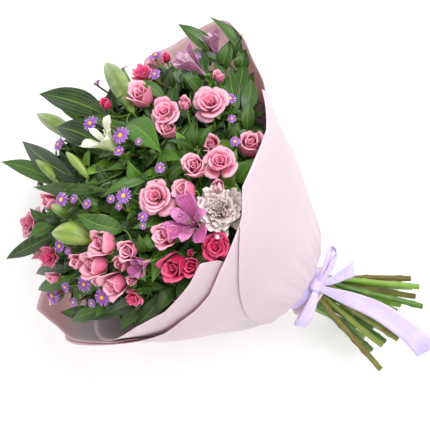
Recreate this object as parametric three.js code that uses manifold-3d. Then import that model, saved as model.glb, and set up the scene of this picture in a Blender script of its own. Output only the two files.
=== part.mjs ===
// A hand-tied mixed flower bouquet in a pale paper wrap with a satin ribbon, lying on a table.
//
// Millimetres, +Z up. The bouquet's own axis runs from the cut stem ends up to the flower heads and
// rises along +X. A point of the bouquet is named by (s, y, n): s along the axis from the tie, y to
// the side, n square to both and upwards. The stems are a twisted sheaf: each one is a straight line
// that leans about the axis, as in a spiral-tied bunch, so no two of them meet.
import * as THREE from 'three';
import { mergeVertices } from 'three/addons/utils/BufferGeometryUtils.js';
import Module from 'manifold-3d';

const wasm = await Module();
wasm.setup();

// ---------------------------------------------------------------- driving dimensions (mm, degrees)
const TIE_HEIGHT = 105;              // the tie's centre above the table
const AXIS_RISE = 22;                // the axis rises this much towards the heads
const CUT_END = -138;                // the cut stem ends, along the axis from the tie
const CUT_SCATTER = 9;               // how far single cuts differ from that
const STEM_WIDTH = 6.2;
const STEM_PITCH = 6.9;              // hexagonal pitch of the stems at the tie
const TWIST_LENGTH = 38;             // along this length a stem turns 45 degrees about the axis
const SHEAF_LEAN = 0.17;             // the sheaf of stems leans to one side by this much of its length
const LEAN_END = 60;                 // up to here; above, it comes back to the axis
const LEAN_BACK = 180;
const FLARE = 0.8e-4;                // how fast the sheaf opens above the tie, beyond the straight lean
const FLARE_START = 20;
const DOME_CENTRE = 230;             // centre of the dome of flower heads, along the axis
const DOME_AXIAL = 150;              // its half size along the axis
const DOME_ACROSS = 185;             // its half size across the axis
const HEAD_FOCUS = 90;               // the heads face away from this point of the axis
const SEAT_GAP = 0.35;               // between a stem's top and the flower head on it
const CLEARANCE = 0.35;              // kept where one plant's leaf would run into another plant
const PAPER = 1.0;                   // wall of a paper sheet
const PAPER_WAIST = 25.0;            // inner radius of the paper at the tie
const PAPER_PUFF = 34;               // how far the paper puffs out just above the tie
const PAPER_SLOPE = 0.705;           // the cone opens this much for each millimetre of its length
const PAPER_SKEW = 0.055;            // and this much less on one side, more on the other
const VIEW_HEIGHT = 2400;            // eye height above the table of the picture that places the heads
const PIXEL = 1.3;                   // one picture unit at the height of the tie
const TIE_AT = { px: 300, py: 285 }; // the tie in that picture, 430 units square
const AXIS_TURN = 33;                // the axis in the picture, from the picture's left, upwards

const { degToRad } = THREE.MathUtils;
const V = (x, y, z) => new THREE.Vector3(x, y, z);
const UP = V(0, 0, 1);

// ---------------------------------------------------------------- the bouquet's own frame
const rise = degToRad(AXIS_RISE);
const alongDir = V(Math.cos(rise), 0, Math.sin(rise));
const sideDir = V(0, 1, 0);
const raiseDir = V(-Math.sin(rise), 0, Math.cos(rise));
const tie = V(0, 0, TIE_HEIGHT);

function place(s, y, n) {
  return tie.clone().addScaledVector(alongDir, s).addScaledVector(sideDir, y).addScaledVector(raiseDir, n);
}

function measure(point) {
  const d = point.clone().sub(tie);
  return V(d.dot(alongDir), d.dot(sideDir), d.dot(raiseDir));
}

// The sheaf: slot q of the tie's section moves out and round as it goes along the axis.
const spread = (s) => Math.hypot(1, s / TWIST_LENGTH) + FLARE * Math.max(0, s - FLARE_START) ** 2;
const twist = (s) => Math.atan2(s, TWIST_LENGTH);

const lean = (s) => SHEAF_LEAN * (s < LEAN_END ? s
  : LEAN_END * (1 - THREE.MathUtils.smoothstep(s, LEAN_END, LEAN_BACK)));

function fan(s, q) {
  const p = q.clone().rotateAround(new THREE.Vector2(), twist(s)).multiplyScalar(spread(s));
  return place(s, p.x + lean(s), p.y);
}

function gather(point) {
  const m = measure(point);
  const q = new THREE.Vector2(m.y - lean(m.x), m.z).multiplyScalar(1 / spread(m.x));
  return q.rotateAround(new THREE.Vector2(), -twist(m.x));
}

// ---------------------------------------------------------------- the picture that places the heads
const turn = degToRad(AXIS_TURN);
const pictureRight = V(-Math.cos(turn), -Math.sin(turn), 0);
const pictureUp = V(Math.sin(turn), -Math.cos(turn), 0);
const focal = (VIEW_HEIGHT - TIE_HEIGHT) / PIXEL;
const PICTURE_MIDDLE = 215;
const eye = V(0, 0, VIEW_HEIGHT)
  .addScaledVector(pictureRight, -(TIE_AT.px - PICTURE_MIDDLE) * PIXEL)
  .addScaledVector(pictureUp, (TIE_AT.py - PICTURE_MIDDLE) * PIXEL);

function sight(px, py) {
  return V(0, 0, -1)
    .addScaledVector(pictureRight, (px - PICTURE_MIDDLE) / focal)
    .addScaledVector(pictureUp, -(py - PICTURE_MIDDLE) / focal);
}

// Where the sight line of a picture point meets the dome of heads, raised by lift.
function onDome(px, py, lift = 0) {
  const squash = V(1 / (DOME_AXIAL + lift), 1 / (DOME_ACROSS + lift), 1 / (DOME_ACROSS + lift));
  const ray = sight(px, py);
  const from = measure(eye).sub(V(DOME_CENTRE, 0, 0)).multiply(squash);
  const to = V(ray.dot(alongDir), ray.dot(sideDir), ray.dot(raiseDir)).multiply(squash);
  const b = from.dot(to) / to.dot(to);
  const root = b * b - (from.dot(from) - 1) / to.dot(to);
  return eye.clone().addScaledVector(ray, -b - Math.sqrt(Math.max(0, root)));
}

const unitAt = (point) => PIXEL * (VIEW_HEIGHT - point.z) / (VIEW_HEIGHT - TIE_HEIGHT);

// A point of the dome's hidden side: turned about the axis from its top, and leaning off the axis.
function onFarSide(turned, leaning, lift = 0) {
  const a = degToRad(turned);
  const b = degToRad(leaning);
  const r = (DOME_ACROSS + lift) * Math.sin(b);
  return place(DOME_CENTRE + (DOME_AXIAL + lift) * Math.cos(b), r * Math.sin(a), r * Math.cos(a));
}

// The point itself, or where the way to it from the dome's centre leaves the dome raised by lift.
function drawnIn(point, lift) {
  const centre = place(DOME_CENTRE, 0, 0);
  const m = measure(point).sub(V(DOME_CENTRE, 0, 0));
  const out = Math.hypot(m.x / (DOME_AXIAL + lift), m.y / (DOME_ACROSS + lift), m.z / (DOME_ACROSS + lift));
  return out > 1 ? centre.lerp(point, 1 / out) : point;
}

function facing(point, toEye, look) {
  const out = point.clone().sub(place(HEAD_FOCUS, 0, 0)).normalize();
  out.lerp(UP, toEye);
  if (look) out.addScaledVector(pictureRight, look[0]).addScaledVector(pictureUp, look[1]);
  return out.normalize();
}

// ---------------------------------------------------------------- solids
function asManifold(positions, triangles) {
  const geometry = new THREE.BufferGeometry();
  geometry.setAttribute('position', new THREE.Float32BufferAttribute(positions, 3));
  geometry.setIndex(triangles);
  const merged = mergeVertices(geometry, 1e-3);
  const build = (flip) => {
    const index = Array.from(merged.index.array);
    if (flip) index.reverse();
    return new wasm.Manifold(new wasm.Mesh({
      numProp: 3,
      vertProperties: new Float32Array(merged.attributes.position.array),
      triVerts: new Uint32Array(index),
    }));
  };
  const solid = build(false);
  return solid.volume() < 0 ? build(true) : solid;
}

// A closed skin through rings of points, which may differ in number; a ring of one point is a pole.
function skin(rings) {
  const positions = rings.flat().flatMap((p) => [p.x, p.y, p.z]);
  const triangles = [];
  let start = 0;
  for (let k = 0; k + 1 < rings.length; k += 1) {
    const [m, n] = [rings[k].length, rings[k + 1].length];
    const low = (i) => start + i % m;
    const high = (j) => start + m + j % n;
    let [i, j] = [0, 0];
    while (i < m || j < n) {
      if (i < m && (j >= n || (i + 1) * n < (j + 1) * m)) {
        if (m > 1) triangles.push(low(i), low(i + 1), high(j));
        i += 1;
      } else {
        if (n > 1) triangles.push(low(i), high(j + 1), high(j));
        j += 1;
      }
    }
    start += m;
  }
  return asManifold(positions, triangles);
}

// Two directions square to a given one; the first leans towards a wished direction.
function squareTo(dir, wish = UP) {
  const first = wish.clone().addScaledVector(dir, -wish.dot(dir));
  if (first.lengthSq() < 1e-6) first.set(1, 0, 0).addScaledVector(dir, -dir.x);
  first.normalize();
  return [first, dir.clone().cross(first)];
}

// A stalk's rings: its points with their own radii, a number of sides, and what sits on its end,
// which takes the stalk's last two square directions.
function stalk(points, radii, sides, top = () => [[points.at(-1)]]) {
  const rings = [];
  let square = squareTo(points[1].clone().sub(points[0]).normalize());
  points.forEach((point, k) => {
    const ahead = points[Math.min(k + 1, points.length - 1)];
    const dir = ahead.clone().sub(points[Math.max(k - 1, 0)]).normalize();
    square = squareTo(dir, square[0]);
    rings.push(circle(point, square, radii[k], sides));
  });
  return skin([[points[0]], ...rings, ...top(square)]);
}

function circle(centre, [u, w], radius, sides, turned = 0) {
  return Array.from({ length: sides }, (_, j) => {
    const angle = turned + j * 2 * Math.PI / sides;
    return centre.clone().addScaledVector(u, radius * Math.cos(angle))
      .addScaledVector(w, radius * Math.sin(angle));
  });
}

// A leaf's blade: folded along its keel and arched, from its foot to its tip.
const BLADE_STATIONS = [[0.36, 0.98], [0.7, 0.76]];
const BLADE_FOLD = 0.14;
const BLADE_THICK = 1.6;

// Its three edges start with the one that lies nearest the stalk's first.
function bladeRings(foot, tip, width, arch, faceDir, [first]) {
  const mid = foot.clone().lerp(tip, 0.5).addScaledVector(faceDir, arch * 2);
  const midrib = new THREE.QuadraticBezierCurve3(foot, mid, tip);
  const [upward, sideward] = squareTo(midrib.getTangent(BLADE_STATIONS[0][0]), faceDir);
  const edges = [upward.clone().negate(), sideward.clone().negate(), sideward];
  const start = edges.reduce((best, edge, k) => (edge.dot(first) > edges[best].dot(first) ? k : best), 0);
  const rings = BLADE_STATIONS.map(([t, wide]) => {
    const centre = midrib.getPoint(t);
    const [up, side] = squareTo(midrib.getTangent(t), faceDir);
    const half = width * wide / 2;
    const lift = half * BLADE_FOLD;
    const ring = [
      centre.clone().addScaledVector(up, lift - BLADE_THICK),
      centre.clone().addScaledVector(side, -half).addScaledVector(up, lift),
      centre.clone().addScaledVector(side, half).addScaledVector(up, lift),
    ];
    return [...ring.slice(start), ...ring.slice(0, start)];
  });
  return [...rings, [tip]];
}

// A bloom as one closed skin that runs up the outside and down and up again between its layers of
// petals. Each row of a form: radius and height as parts of the bloom's radius, then the lobes of
// that layer: how many, how deep, and how far they are turned round.
const FORMS = {
  openRose: { columns: 10, rows: [
    [0.2, -0.62], [0.62, -0.36], [1.0, 0.04, 5, 0.07], [0.78, 0.02, 5, 0.04], [0.74, 0.36, 5, 0.06, 0.6],
    [0.52, 0.16, 5, 0.03, 0.6], [0.45, 0.5, 5, 0.06], [0.2, 0.3], [0, 0.5]] },
  cupRose: { columns: 8, rows: [
    [0.2, -0.9], [0.7, -0.62], [0.96, 0.0, 4, 0.05], [0.86, 0.42, 4, 0.05], [0.62, 0.3, 4, 0.03],
    [0.55, 0.68, 4, 0.06, 0.5], [0.26, 0.48, 4, 0.03, 0.5], [0, 0.7]] },
  farRose: { columns: 8, rows: [
    [0.7, -0.62], [0.96, 0.0, 4, 0.06], [0.84, 0.42, 4, 0.06], [0.52, 0.26], [0.45, 0.62, 4, 0.06],
    [0, 0.5]] },
  bud: { columns: 6, rows: [
    [0.66, -0.8], [0.9, -0.1], [0.62, 0.6], [0, 0.95]] },
  carnation: { columns: 14, rows: [
    [0.2, -1.0], [0.5, -0.62], [1.0, 0.05, 7, 0.1], [0.74, 0.08, 7, 0.06], [0.78, 0.4, 7, 0.1, 0.4],
    [0.42, 0.28, 7, 0.04], [0.4, 0.62, 7, 0.1, 0.2], [0, 0.5]] },
  ruffled: { columns: 14, rows: [
    [0.2, -0.7], [0.66, -0.42], [1.0, 0.0, 7, 0.12], [0.76, 0.06, 7, 0.05], [0.8, 0.3, 7, 0.1, 0.5],
    [0.5, 0.24, 7, 0.05], [0.5, 0.48, 7, 0.12, 0.2], [0.2, 0.34], [0, 0.42]] },
};

function bloomRings(form, centre, dir, radius, [u, w]) {
  const { columns, rows } = FORMS[form];
  return rows.map(([r, h, lobes = 0, deep = 0, turned = 0]) => {
    if (r === 0) return [centre.clone().addScaledVector(dir, h * radius)];
    return Array.from({ length: columns }, (_, j) => {
      const angle = j * 2 * Math.PI / columns;
      const wave = Math.cos(lobes * (angle + turned));
      const reach = radius * r * (1 + deep * wave);
      return centre.clone()
        .addScaledVector(u, reach * Math.cos(angle))
        .addScaledVector(w, reach * Math.sin(angle))
        .addScaledVector(dir, radius * (h + 0.5 * deep * wave * (h > -0.3 ? 1 : 0)));
    });
  });
}

function bloom(form, centre, dir, radius) {
  const foot = centre.clone().addScaledVector(dir, FORMS[form].rows[0][1] * radius);
  return skin([[foot], ...bloomRings(form, centre, dir, radius, squareTo(dir, pictureUp))]);
}

// Six pointed petals that flare out of a short throat, as one skin: a petal's tip, shoulder and the
// notch beside it are three reaches of the rim.
const PETAL_RIM = [[1.0, 0.0], [0.84, 0.1], [0.34, -0.16], [0.84, 0.1]];
const PETALS = 6;
const TUBE_ROWS = [[0.14, -1], [0.28, -0.45]];   // the tube below the petals: radius and height
const INNER_PETAL = { reach: 0.86, raise: 0.12 };  // every second petal is shorter and stands higher
const THROAT = { width: 0.2, height: -0.24, floor: -0.3 };

function trumpet(centre, dir, radius, open) {
  const [u, w] = squareTo(dir, pictureUp);
  const columns = PETALS * PETAL_RIM.length;
  const ring = (shape) => Array.from({ length: columns }, (_, j) => {
    const angle = j * 2 * Math.PI / columns;
    const [r, h] = shape(j % PETAL_RIM.length, Math.floor(j / PETAL_RIM.length) % 2);
    return centre.clone().addScaledVector(u, radius * r * Math.cos(angle))
      .addScaledVector(w, radius * r * Math.sin(angle)).addScaledVector(dir, radius * h);
  });
  const foot = centre.clone().addScaledVector(dir, -radius);
  const flare = (k, inner) => [
    PETAL_RIM[k][0] * (inner ? INNER_PETAL.reach : 1) * (0.4 + open),
    PETAL_RIM[k][1] * 0.5 + (inner ? INNER_PETAL.raise : 0) + 0.5 * (1 - open) * PETAL_RIM[k][0]];
  return skin([
    [foot], ...TUBE_ROWS.map((row) => ring(() => row)), ring(flare),
    ring((k) => [THROAT.width, THROAT.height + 0.04 * (k % 2)]),
    [centre.clone().addScaledVector(dir, radius * THROAT.floor)]]);
}

// A plump pointed lily bud with six ribs.
const LILY_BUD_ROWS = [[0.06, 0.42], [0.32, 0.88], [0.62, 1.0], [0.86, 0.6]];

function lilyBudRings(foot, tip, width, square) {
  return [...LILY_BUD_ROWS.map(([t, wide], k) => (
    circle(foot.clone().lerp(tip, t), square, wide * width / 2, 6, (k % 2) * Math.PI / 6))), [tip]];
}

// An aster: a ring of pointed rays about a raised button.
const ASTER_RAYS = 7;
const ASTER_BUTTON = 5;              // corners of the button

function asterRings(centre, dir, radius, square) {
  const at = (h) => centre.clone().addScaledVector(dir, h * radius);
  const tips = circle(at(0.06), square, radius, ASTER_RAYS);
  const notches = circle(at(0), square, radius * 0.48, ASTER_RAYS, Math.PI / ASTER_RAYS);
  const rim = tips.flatMap((tip, k) => [tip, notches[k]]);
  return [rim, circle(at(0.28), square, radius * 0.32, ASTER_BUTTON), [at(0.32)]];
}

// ---------------------------------------------------------------- what grows in the bouquet
// Heads and leaves are placed where the picture shows them (px, py; sizes in the same units), those
// of the hidden side by their turn about the axis and their lean off it. A head with a node name is
// a piece of its own; the small ones are joined to their spray.
const head = (form, px, py, size, more = {}) => ({ form, px, py, size, lift: 0, toEye: 0.3, ...more });
const hidden = (form, turned, leaning, width, more = {}) => (
  { form, turned, leaning, width, lift: 0, toEye: 0, ...more });
const blade = (px, py, tipX, tipY, wide, more = {}) => (
  { px, py, tipX, tipY, wide, deep: -22, raise: 4, arch: 7, ...more });

const PALE = 0xea93a8;
const HOT = 0xd7335f;
const MAUVE = 0xbe5f9c;
const CREAM = 0xf2eee2;
const GREEN = 0x4b7a2c;
const WRAP = 0xeedde8;
const SATIN = 0xd8c6f2;
const TWINE = 0xc9a878;

const PLANTS = [
  { name: 'pale_rose_spray_upper', heads: [
    head('openRose', 220, 161, 34, { node: 'pale_rose_open_a', color: PALE, toEye: 0.5 }),
    head('openRose', 210, 102, 36, { node: 'pale_rose_open_b', color: PALE, toEye: 0.5 }),
    head('cupRose', 251, 143, 26, { node: 'pale_rose_cup_a', color: PALE }),
    head('cupRose', 211, 144, 20, { node: 'pale_rose_cup_b', color: PALE, lift: -20 }),
    head('bud', 219, 188, 15, { lift: -10 })],
  leaves: [blade(236, 182, 255, 158, 20), blade(246, 168, 262, 153, 14), blade(228, 140, 238, 122, 12)] },
  { name: 'pale_rose_spray_top_left', heads: [
    head('openRose', 164, 112, 30, { node: 'pale_rose_open_c', color: PALE }),
    head('cupRose', 142, 95, 26, { node: 'pale_rose_cup_c', color: PALE, lift: -6 }),
    head('cupRose', 168, 129, 20, { node: 'pale_rose_cup_d', color: PALE, lift: -14 }),
    head('bud', 184, 105, 15)],
  leaves: [blade(128, 123, 161, 152, 28, { deep: -14 }), blade(160, 155, 184, 160, 13)] },
  { name: 'pale_rose_spray_middle', heads: [
    head('openRose', 155, 197, 36, { node: 'pale_rose_open_d', color: PALE, toEye: 0.5 }),
    head('cupRose', 195, 166, 24, { node: 'pale_rose_cup_e', color: PALE }),
    head('cupRose', 185, 190, 22, { node: 'pale_rose_cup_f', color: PALE, look: [-0.9, 0.1], lift: -4 })],
  leaves: [blade(168, 180, 184, 164, 13), blade(140, 180, 128, 160, 14),
    blade(107, 190, 33, 187, 14, { raise: 6 })] },
  { name: 'pale_rose_spray_low', heads: [
    head('cupRose', 165, 235, 24, { node: 'pale_rose_cup_g', color: PALE, look: [-0.3, -0.2] }),
    head('cupRose', 128, 251, 20, { node: 'pale_rose_cup_h', color: PALE }),
    head('cupRose', 115, 284, 26, { node: 'pale_rose_cup_i', color: PALE, look: [-0.3, -0.4] }),
    head('bud', 132, 281, 12), head('bud', 122, 264, 18, { lift: -10 })],
  leaves: [blade(150, 250, 139, 234, 16), blade(140, 262, 146, 282, 14),
    blade(124, 230, 76, 214, 23, { raise: 8 })] },
  { name: 'pale_rose_spray_left', heads: [
    head('cupRose', 103, 243, 26, { node: 'pale_rose_cup_j', color: PALE, look: [-0.5, 0] }),
    head('cupRose', 96, 264, 26, { node: 'pale_rose_cup_k', color: PALE, look: [-0.5, -0.1] }),
    head('bud', 78, 262, 18), head('bud', 99, 283, 12), head('bud', 54, 278, 14)],
  leaves: [blade(76, 278, 38, 290, 15), blade(72, 268, 36, 274, 14)] },
  { name: 'pale_rose_spray_far_left', heads: [
    head('openRose', 28, 223, 30, { node: 'pale_rose_open_e', color: PALE, look: [-0.5, 0] }),
    head('bud', 49, 202, 17)],
  leaves: [blade(55, 225, 30, 240, 15), blade(57, 234, 6, 259, 17), blade(52, 222, 30, 208, 12)] },
  { name: 'hot_rose_spray', heads: [
    head('openRose', 217, 246, 32, { node: 'hot_rose_a', color: HOT, toEye: 0.4 }),
    head('cupRose', 175, 265, 28, { node: 'hot_rose_b', color: HOT, look: [-0.2, -0.5] }),
    head('cupRose', 193, 270, 22, { node: 'hot_rose_c', color: HOT, look: [0, -0.4] }),
    head('bud', 191, 253, 8)],
  leaves: [blade(176, 252, 160, 262, 14), blade(200, 254, 206, 262, 12)] },
  { name: 'carnation_stem_top', heads: [
    head('carnation', 142, 72, 22, { node: 'carnation_a', color: HOT }), head('bud', 166, 59, 10),
    head('bud', 106, 105, 12)],
  leaves: [blade(166, 101, 135, 80, 12), blade(191, 92, 193, 61, 14)] },
  { name: 'carnation_stem_left', heads: [
    head('carnation', 46, 257, 22, { node: 'carnation_b', color: HOT, look: [-0.4, -0.2] })],
  leaves: [blade(60, 243, 27, 237, 14)] },
  { name: 'carnation_stem_low', heads: [
    head('carnation', 133, 299, 18, { node: 'carnation_c', color: HOT, look: [-0.2, -0.6] })],
  leaves: [blade(147, 298, 105, 314, 19), blade(151, 300, 120, 331, 15), blade(158, 302, 145, 326, 14)] },
  { name: 'alstroemeria_stem_low', heads: [
    head('trumpet', 190, 222, 50, { node: 'alstroemeria_a', color: MAUVE, toEye: 0.6, open: 0.6, lift: 8 }),
    head('trumpet', 140, 264, 30, { node: 'alstroemeria_b', color: MAUVE, look: [-0.9, -0.4], open: 0.45 }),
    head('bud', 174, 231, 12)],
  leaves: [blade(194, 149, 166, 141, 9), blade(197, 146, 191, 122, 8), blade(200, 149, 214, 124, 9)] },
  { name: 'alstroemeria_stem_top', heads: [
    head('trumpet', 196, 68, 28, { node: 'alstroemeria_c', color: MAUVE, look: [-0.9, 0.2], open: 0.46 }),
    head('trumpet', 214, 50, 24, { node: 'alstroemeria_d', color: MAUVE, look: [-0.3, 0.7], open: 0.4 }),
    head('bud', 219, 77, 13)],
  leaves: [blade(214, 52, 178, 24, 18), blade(243, 55, 209, 17, 12), blade(246, 72, 254, 48, 16),
    blade(231, 66, 186, 50, 13)] },
  { name: 'ruffled_white_stem', heads: [
    head('ruffled', 219, 209, 46, { node: 'ruffled_white_bloom', color: CREAM, toEye: 0.4, lift: -8 })],
  leaves: [blade(238, 112, 231, 66, 15), blade(246, 110, 262, 70, 14)] },
  { name: 'lily_stem_open', heads: [
    head('trumpet', 106, 142, 40, { node: 'cream_lily', color: CREAM, open: 0.42, look: [-0.5, 0.5] }),
    head('lilyBud', 119, 88, 22, { tip: [106, 63], foot: [133, 112] }),
    head('lilyBud', 76, 165, 10, { tip: [66, 152], foot: [88, 178] })],
  leaves: [blade(108, 116, 39, 94, 28, { raise: 12 }), blade(106, 148, 56, 127, 28, { raise: 10 })] },
  { name: 'lily_stem_upper', heads: [
    head('lilyBud', 59, 128, 16, { tip: [37, 114], foot: [80, 142] }),
    head('lilyBud', 48, 172, 10, { tip: [36, 160], foot: [60, 184] })],
  leaves: [blade(79, 182, 22, 141, 22, { raise: 8 }), blade(62, 185, 1, 162, 17, { raise: 8 }),
    blade(149, 179, 101, 198, 12)] },
  { name: 'lily_stem_left', heads: [
    head('lilyBud', 73, 237, 25, { tip: [52, 233], foot: [94, 240] }),
    head('lilyBud', 60, 212, 12, { tip: [51, 205], foot: [70, 219] })],
  leaves: [blade(62, 224, 40, 216, 10)] },
  { name: 'aster_spray_upper_left', heads: [
    head('aster', 121, 136, 20), head('aster', 91, 124, 18), head('aster', 107, 123, 12),
    head('aster', 119, 151, 12), head('aster', 139, 142, 9), head('aster', 59, 145, 14),
    head('aster', 97, 83, 9)],
  leaves: [blade(120, 112, 124, 94, 6), blade(98, 138, 84, 140, 6)] },
  { name: 'aster_spray_left', heads: [
    head('aster', 87, 204, 11), head('aster', 62, 200, 18), head('aster', 74, 199, 10),
    head('aster', 60, 246, 14), head('aster', 68, 251, 9)],
  leaves: [blade(82, 210, 65, 214, 6), blade(91, 205, 85, 188, 6)] },
  { name: 'aster_spray_middle', heads: [
    head('aster', 124, 196, 18), head('aster', 111, 199, 10), head('aster', 119, 206, 9),
    head('aster', 143, 217, 12), head('aster', 143, 226, 8), head('aster', 160, 168, 12)],
  leaves: [blade(132, 206, 140, 186, 6), blade(136, 214, 126, 222, 6)] },
  { name: 'aster_spray_low', heads: [
    head('aster', 85, 284, 18), head('aster', 54, 295, 22), head('aster', 66, 287, 12),
    head('aster', 103, 297, 20), head('aster', 92, 303, 10), head('aster', 74, 302, 10)],
  leaves: [blade(98, 300, 84, 311, 8), blade(108, 302, 95, 318, 8)] },
  { name: 'aster_spray_top', heads: [
    head('aster', 184, 57, 18), head('aster', 156, 56, 17), head('aster', 196, 57, 12),
    head('aster', 155, 75, 14)],
  leaves: [blade(174, 88, 169, 67, 7), blade(182, 85, 190, 71, 7)] },
  { name: 'aster_spray_right', heads: [
    head('aster', 230, 99, 14), head('aster', 232, 119, 10), head('aster', 235, 142, 12)],
  leaves: [blade(226, 112, 222, 92, 6), blade(230, 122, 240, 104, 6)] },
  { name: 'far_rose_spray_right', heads: [
    hidden('farRose', 118, 62, 34), hidden('farRose', 98, 74, 32), hidden('bud', 128, 82, 22),
    hidden('aster', 110, 46, 18)] },
  { name: 'far_rose_spray_low', heads: [
    hidden('farRose', 168, 58, 42), hidden('farRose', 190, 76, 34), hidden('farRose', 150, 78, 32),
    hidden('aster', 180, 42, 20)] },
  { name: 'far_rose_spray_left', heads: [
    hidden('farRose', 240, 60, 34), hidden('farRose', 222, 74, 38), hidden('bud', 254, 78, 22),
    hidden('aster', 236, 44, 18)] },
  { name: 'far_aster_spray', heads: [
    hidden('aster', 205, 56, 24), hidden('aster', 140, 60, 22), hidden('aster', 208, 86, 22),
    hidden('aster', 172, 86, 20), hidden('aster', 146, 44, 18), hidden('lilyBud', 196, 30, 16)] },
];

// ---------------------------------------------------------------- heads
// How far below its centre a head ends, as a part of its radius.
const HEAD_FOOT = {
  openRose: 0.62, cupRose: 0.9, farRose: 0.95, bud: 1.1, carnation: 1.0, ruffled: 0.7, trumpet: 1.0 };
const FLAT_FOOT = 0.4;               // the same for the flat asters
const BUD_REACH = 2.4;               // a hidden lily bud's half length, as a part of its radius
const BUD_FOOT_LIFT = -14;           // a lily bud's foot and tip in the picture, off the dome
const BUD_TIP_LIFT = 12;

function settleHead(spec) {
  const centre = spec.px
    ? onDome(spec.px, spec.py, spec.lift) : onFarSide(spec.turned, spec.leaning, spec.lift);
  const radius = spec.px ? spec.size * unitAt(centre) / 2 : spec.width / 2;
  let dir = facing(centre, spec.toEye, spec.look);
  let foot = centre.clone().addScaledVector(dir, -radius * (HEAD_FOOT[spec.form] ?? FLAT_FOOT));
  let tip = null;
  if (spec.form === 'lilyBud') {
    const ahead = (part) => centre.clone().addScaledVector(dir, radius * part);
    foot = spec.foot ? onDome(...spec.foot, BUD_FOOT_LIFT) : ahead(-BUD_REACH);
    tip = spec.tip ? onDome(...spec.tip, BUD_TIP_LIFT) : ahead(BUD_REACH);
    dir = tip.clone().sub(foot).normalize();
  }
  return { ...spec, centre, radius, dir, foot, tip };
}

function settleLeaf(spec) {
  const foot = onDome(spec.px, spec.py, spec.deep);
  const tip = onDome(spec.tipX, spec.tipY, spec.raise);
  return { ...spec, form: 'leaf', foot, tip, dir: tip.clone().sub(foot).normalize(),
    radius: spec.wide * unitAt(foot) / 2, faceDir: facing(foot, 0.5) };
}

function looseHead(h) {
  return h.form === 'trumpet'
    ? trumpet(h.centre, h.dir, h.radius, h.open) : bloom(h.form, h.centre, h.dir, h.radius);
}

// What a stalk ends in: a flat seat under a loose head, or the small head itself.
function stalkTop(h, end) {
  if (h.node) return () => [[end]];
  if (h.form === 'lilyBud') return (square) => lilyBudRings(h.foot, h.tip, h.radius * 2, square);
  if (h.form === 'aster') return (square) => asterRings(h.centre, h.dir, h.radius, square);
  return (square) => bloomRings(h.form, h.centre, h.dir, h.radius, square);
}

// ---------------------------------------------------------------- stems
const STEM_STRAIGHT = 30;            // a stem is straight from its cut end to here
const STEM_RISE = 60;                // and from here on it works round to its head
const FORK = 0.6;                    // side branches leave at this part of the way to the head
const NECK = 9;
const BRANCH_WIDTH = 3.0;
const PETIOLE_WIDTH = 2.4;
const TOP_WIDTH = 3.4;
const STEM_SIDES = 5;
const BRANCH_SIDES = 3;
const BRANCH_LEAST = 45;             // a side branch leaves at least this far below its head's neck
const CUT_STEP = 2.4;                // the cut ends step on by this angle from one stem to the next
const RINGS_OF_SLOTS = 4;

// Points from one place of the sheaf to a head's foot, in the sheaf's own order, then the neck.
function climb(fromS, fromQ, h, steps, ease) {
  const end = h.foot.clone().addScaledVector(h.dir, h.node ? -SEAT_GAP : 0);
  const neck = h.foot.clone().addScaledVector(h.dir, -NECK);
  const s1 = measure(neck).x;
  const q1 = gather(neck);
  const points = Array.from({ length: steps }, (_, k) => {
    const t = k / steps;
    const s = fromS + (s1 - fromS) * t;
    return { point: fan(s, fromQ.clone().lerp(q1, ease(t))), s };
  });
  return [...points, { point: neck, s: s1 }, { point: end, s: s1 }];
}

function slots(count) {
  const found = [];
  for (let i = -RINGS_OF_SLOTS; i <= RINGS_OF_SLOTS; i += 1) {
    for (let j = -RINGS_OF_SLOTS; j <= RINGS_OF_SLOTS; j += 1) {
      found.push(new THREE.Vector2(STEM_PITCH * Math.sqrt(3) / 2 * i, STEM_PITCH * (j + i / 2)));
    }
  }
  const order = (q) => Math.round(q.length() * 100) + (5 * q.angle() / (2 * Math.PI)) % 1;
  return found.sort((a, b) => order(a) - order(b)).slice(0, count);
}

function nearestSlot(free, q) {
  let best = 0;
  free.forEach((slot, k) => {
    if (slot.distanceTo(q) < free[best].distanceTo(q)) best = k;
  });
  return free.splice(best, 1)[0];
}

const RISING_STEPS = 3;
const smooth = (t) => t * t * (3 - 2 * t);
const steady = (t) => t;
const seat = (h) => (h.node ? Math.max(2.2, h.radius * 0.2) : BRANCH_WIDTH / 2);

// The chains of points of one plant: its stem, then each side branch from a point of the stem.
function layStem(plant, slot, index) {
  const [lead, ...sides] = plant.heads;
  const cut = CUT_END + CUT_SCATTER * Math.sin(index * CUT_STEP);
  const rising = climb(STEM_RISE, slot, lead, RISING_STEPS, smooth);
  const path = [
    { point: fan(cut, slot), s: cut }, { point: fan(STEM_STRAIGHT, slot), s: STEM_STRAIGHT }, ...rising];
  path.forEach((node, k) => {
    const thin = THREE.MathUtils.mapLinear(
      Math.max(STEM_RISE, node.s), STEM_RISE, DOME_CENTRE, STEM_WIDTH, TOP_WIDTH);
    Object.assign(node, { half: thin / 2, held: k < 3 || k >= path.length - 2 });
  });
  const chains = [{ nodes: path, h: lead, plant: index, sides: STEM_SIDES }];
  sides.forEach((side) => {
    const neckS = measure(side.foot.clone().addScaledVector(side.dir, -NECK)).x;
    const fork = Math.max(STEM_RISE, Math.min(FORK * measure(lead.foot).x, neckS - BRANCH_LEAST));
    const start = rising.findLast(({ s }) => s <= fork + 1e-6) ?? rising[0];
    const branch = climb(start.s, gather(start.point), side, 2, steady);
    branch.forEach((node, k) => (
      Object.assign(node, { half: BRANCH_WIDTH / 2, held: k >= branch.length - 2 })));
    chains.push({ nodes: [start, ...branch.slice(1)], h: side, plant: index, sides: BRANCH_SIDES });
  });
  return chains;
}

function wooden(chain) {
  const points = chain.nodes.map(({ point }) => point);
  const half = chain.nodes.map((node) => (chain.sides === BRANCH_SIDES ? BRANCH_WIDTH / 2 : node.half));
  half[half.length - 1] = seat(chain.h);
  return stalk(points, half, chain.sides, stalkTop(chain.h, points.at(-1)));
}

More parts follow.
